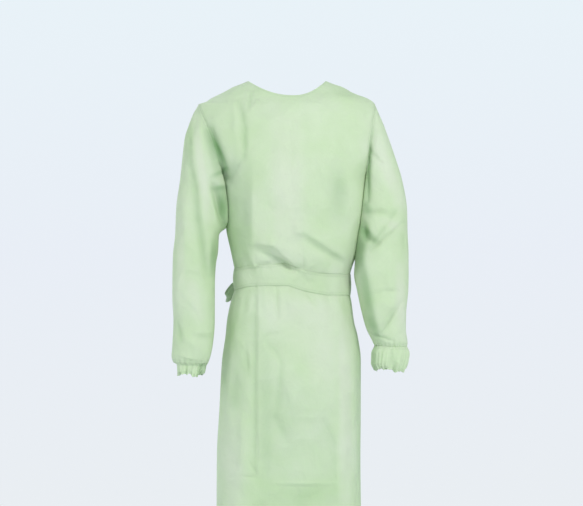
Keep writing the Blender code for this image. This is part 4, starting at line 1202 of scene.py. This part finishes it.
def make_belt(belt):
    """The belt, with its bow at the back left."""
    knot, along, out = knot_frame(belt)
    up = np.array([0, 0, 1])
    bow_knot = knot_piece("belt_bow_knot", "belt_knot", knot, KNOT_HALF, along)
    ends, sides = ("top", "bottom"), ("first", "last")
    name, node = "waist_belt_cloth", "waist_belt"
    cloth_piece(name, node, belt, False, GOWN_CLOTH, ends)
    for name, table in (("left", LEFT_LOOP), ("right", RIGHT_LOOP)):
        route = [knot + a * along + o * out + u * up for a, o, u in table]
        loop = strip_points(route, LOOP_WIDTHS, upright, LOOP_STEPS, 0.0)
        cloth_piece(f"belt_{name}_bow_loop", f"belt_{name}_loop", loop, False, TIE_CLOTH, sides)
    low = KNOT_HALF[2] * KNOT_END + SLANT_SEAT
    long_start = knot - TAILS_APART * along - low * up
    short_start = knot + TAILS_APART * along + SHORT_END_OUT * out - low * up
    for name, start, hand, steps, lift in (
        ("long", long_start, LEFT, LONG_END, LONG_END_LIFT),
        ("short", short_start, RIGHT, SHORT_END, SHORT_END_LIFT),
    ):
        route = hanging_end(start, hand, steps, lift)
        strip = strip_points(route, TAIL_WIDTHS, along_back, TAIL_STEPS, TAIL_CURL)
        cloth_piece(f"belt_{name}_tail", f"belt_{name}_end", strip, False, TIE_CLOTH, sides)


def make_neck_tie():
    """The neck's small knot near the outer back panel's corner, with two hanging ends."""
    knot = np.array(on_back(*NECK_KNOT_PLACE, NECK_KNOT_LIFT))
    tie_knot = knot_piece("neck_tie_small_knot", "neck_tie_knot", knot, NECK_KNOT_HALF)
    for name, hand, steps in (("long", LEFT, NECK_LONG_END), ("short", RIGHT, NECK_SHORT_END)):
        start = knot + [hand * NECK_ENDS_APART, NECK_ENDS_OUT, -NECK_KNOT_HALF[2] * KNOT_END - NECK_SEAT]
        route = hanging_end(start, hand, steps, TIE_LIFT)
        strip = strip_points(route, NECK_TIE_WIDTHS, along_back, NECK_TIE_STEPS, NECK_TIE_CURL)
        tail, end = f"neck_tie_{name}_tail", f"neck_tie_{name}_end"
        cloth_piece(tail, end, strip, False, TIE_CLOTH, ("first", "last"))


# ---------------------------------------------------------------- studio

FLOOR_PLACE = (0, 0, -1.45)
FLOOR_REACH = 3.3
FLOOR_PALE, FLOOR_PALER = (0.80, 0.83, 0.86, 1.0), (0.84, 0.87, 0.90, 1.0)
STUDIO_TOP = (0.811, 0.890, 0.939, 1.0)
STUDIO_MIDDLE = (0.811, 0.855, 0.921, 1.0)
STUDIO_LOW = (0.818, 0.855, 0.888, 1.0)
STUDIO_FILL = 0.72  # the studio's own light on the gown, against how bright its ground looks
LIGHTS = [  # name, place, what it points at, size and power, in metres and watts
    ("key light", (1.7, -2.9, 1.1), (0, 0, -0.55), 1.2, 59.0),
    ("left light", (-3.0, -1.4, 0.2), (0, 0, -0.6), 1.6, 21.0),
    ("rear light", (-1.6, 3.0, 1.4), (0, 0, -0.5), 2.0, 25.0),
]
CAMERA_PLACE = (0.0082, -5.0, -0.404)
CAMERA_LENS = 131.4


def make_floor():
    """A pale round floor under the gown."""
    bpy.ops.object.select_all(action="DESELECT")
    bpy.ops.mesh.primitive_circle_add(vertices=96, radius=FLOOR_REACH, fill_type="NGON", location=FLOOR_PLACE)
    floor = bpy.context.object
    floor.name = "studio_floor"
    bpy.ops.object.transform_apply(location=True, rotation=False, scale=False)
    material = bpy.data.materials.new("pale studio floor")
    material.use_nodes = True
    tree = material.node_tree
    place = add_node(tree, "ShaderNodeTexCoord").outputs["Object"]
    colour = mixed(tree, noise(tree, place, 3.0, 2.0), FLOOR_PALE, FLOOR_PALER)
    tree.links.new(colour, tree.nodes["Principled BSDF"].inputs["Base Color"])
    tree.nodes["Principled BSDF"].inputs["Roughness"].default_value = 0.9
    floor.data.materials.append(material)


def make_studio_light():
    """A pale ground all round, and three soft lights."""
    world = bpy.data.worlds.new("pale studio")
    bpy.context.scene.world = world
    world.use_nodes = True
    tree = world.node_tree
    way = add_node(tree, "ShaderNodeTexCoord").outputs["Generated"]
    height = add_node(tree, "ShaderNodeSeparateXYZ", Vector=way).outputs["Z"]
    ramp = add_node(tree, "ShaderNodeValToRGB", Fac=maths(tree, "MULTIPLY_ADD", height, 4.0, 0.5, clamp=True))
    ramp.color_ramp.elements[0].color = STUDIO_LOW
    ramp.color_ramp.elements[1].color = STUDIO_TOP
    middle = ramp.color_ramp.elements.new(0.5)
    middle.color = STUDIO_MIDDLE
    tree.links.new(ramp.outputs[0], tree.nodes["Background"].inputs["Color"])
    seen = add_node(tree, "ShaderNodeLightPath").outputs["Is Camera Ray"]
    strength = maths(tree, "MULTIPLY_ADD", seen, 1 - STUDIO_FILL, STUDIO_FILL)
    tree.links.new(strength, tree.nodes["Background"].inputs["Strength"])
    for name, place, aim, size, energy in LIGHTS:
        light = bpy.data.lights.new(name, "AREA")
        light.shape = "DISK"
        light.size = size
        light.energy = energy
        lamp = bpy.data.objects.new(name, light)
        bpy.context.scene.collection.objects.link(lamp)
        lamp.location = place
        way = np.array(aim) - np.array(place)
        yaw = math.atan2(way[0], -way[1])
        pitch = math.atan2(math.hypot(way[0], way[1]), -way[2])
        lamp.rotation_euler = (pitch, 0, yaw + math.pi)


def make_camera():
    """A level camera in front of the gown."""
    camera = bpy.data.cameras.new("front camera")
    camera.sensor_width = 36.0
    camera.lens = CAMERA_LENS
    holder = bpy.data.objects.new("front camera", camera)
    bpy.context.scene.collection.objects.link(holder)
    holder.location = CAMERA_PLACE
    holder.rotation_euler = (math.pi / 2, 0, 0)
    bpy.context.scene.camera = holder
    bpy.context.scene.view_settings.view_transform = "Standard"


make_camera()
make_gown()
make_floor()
make_studio_light()
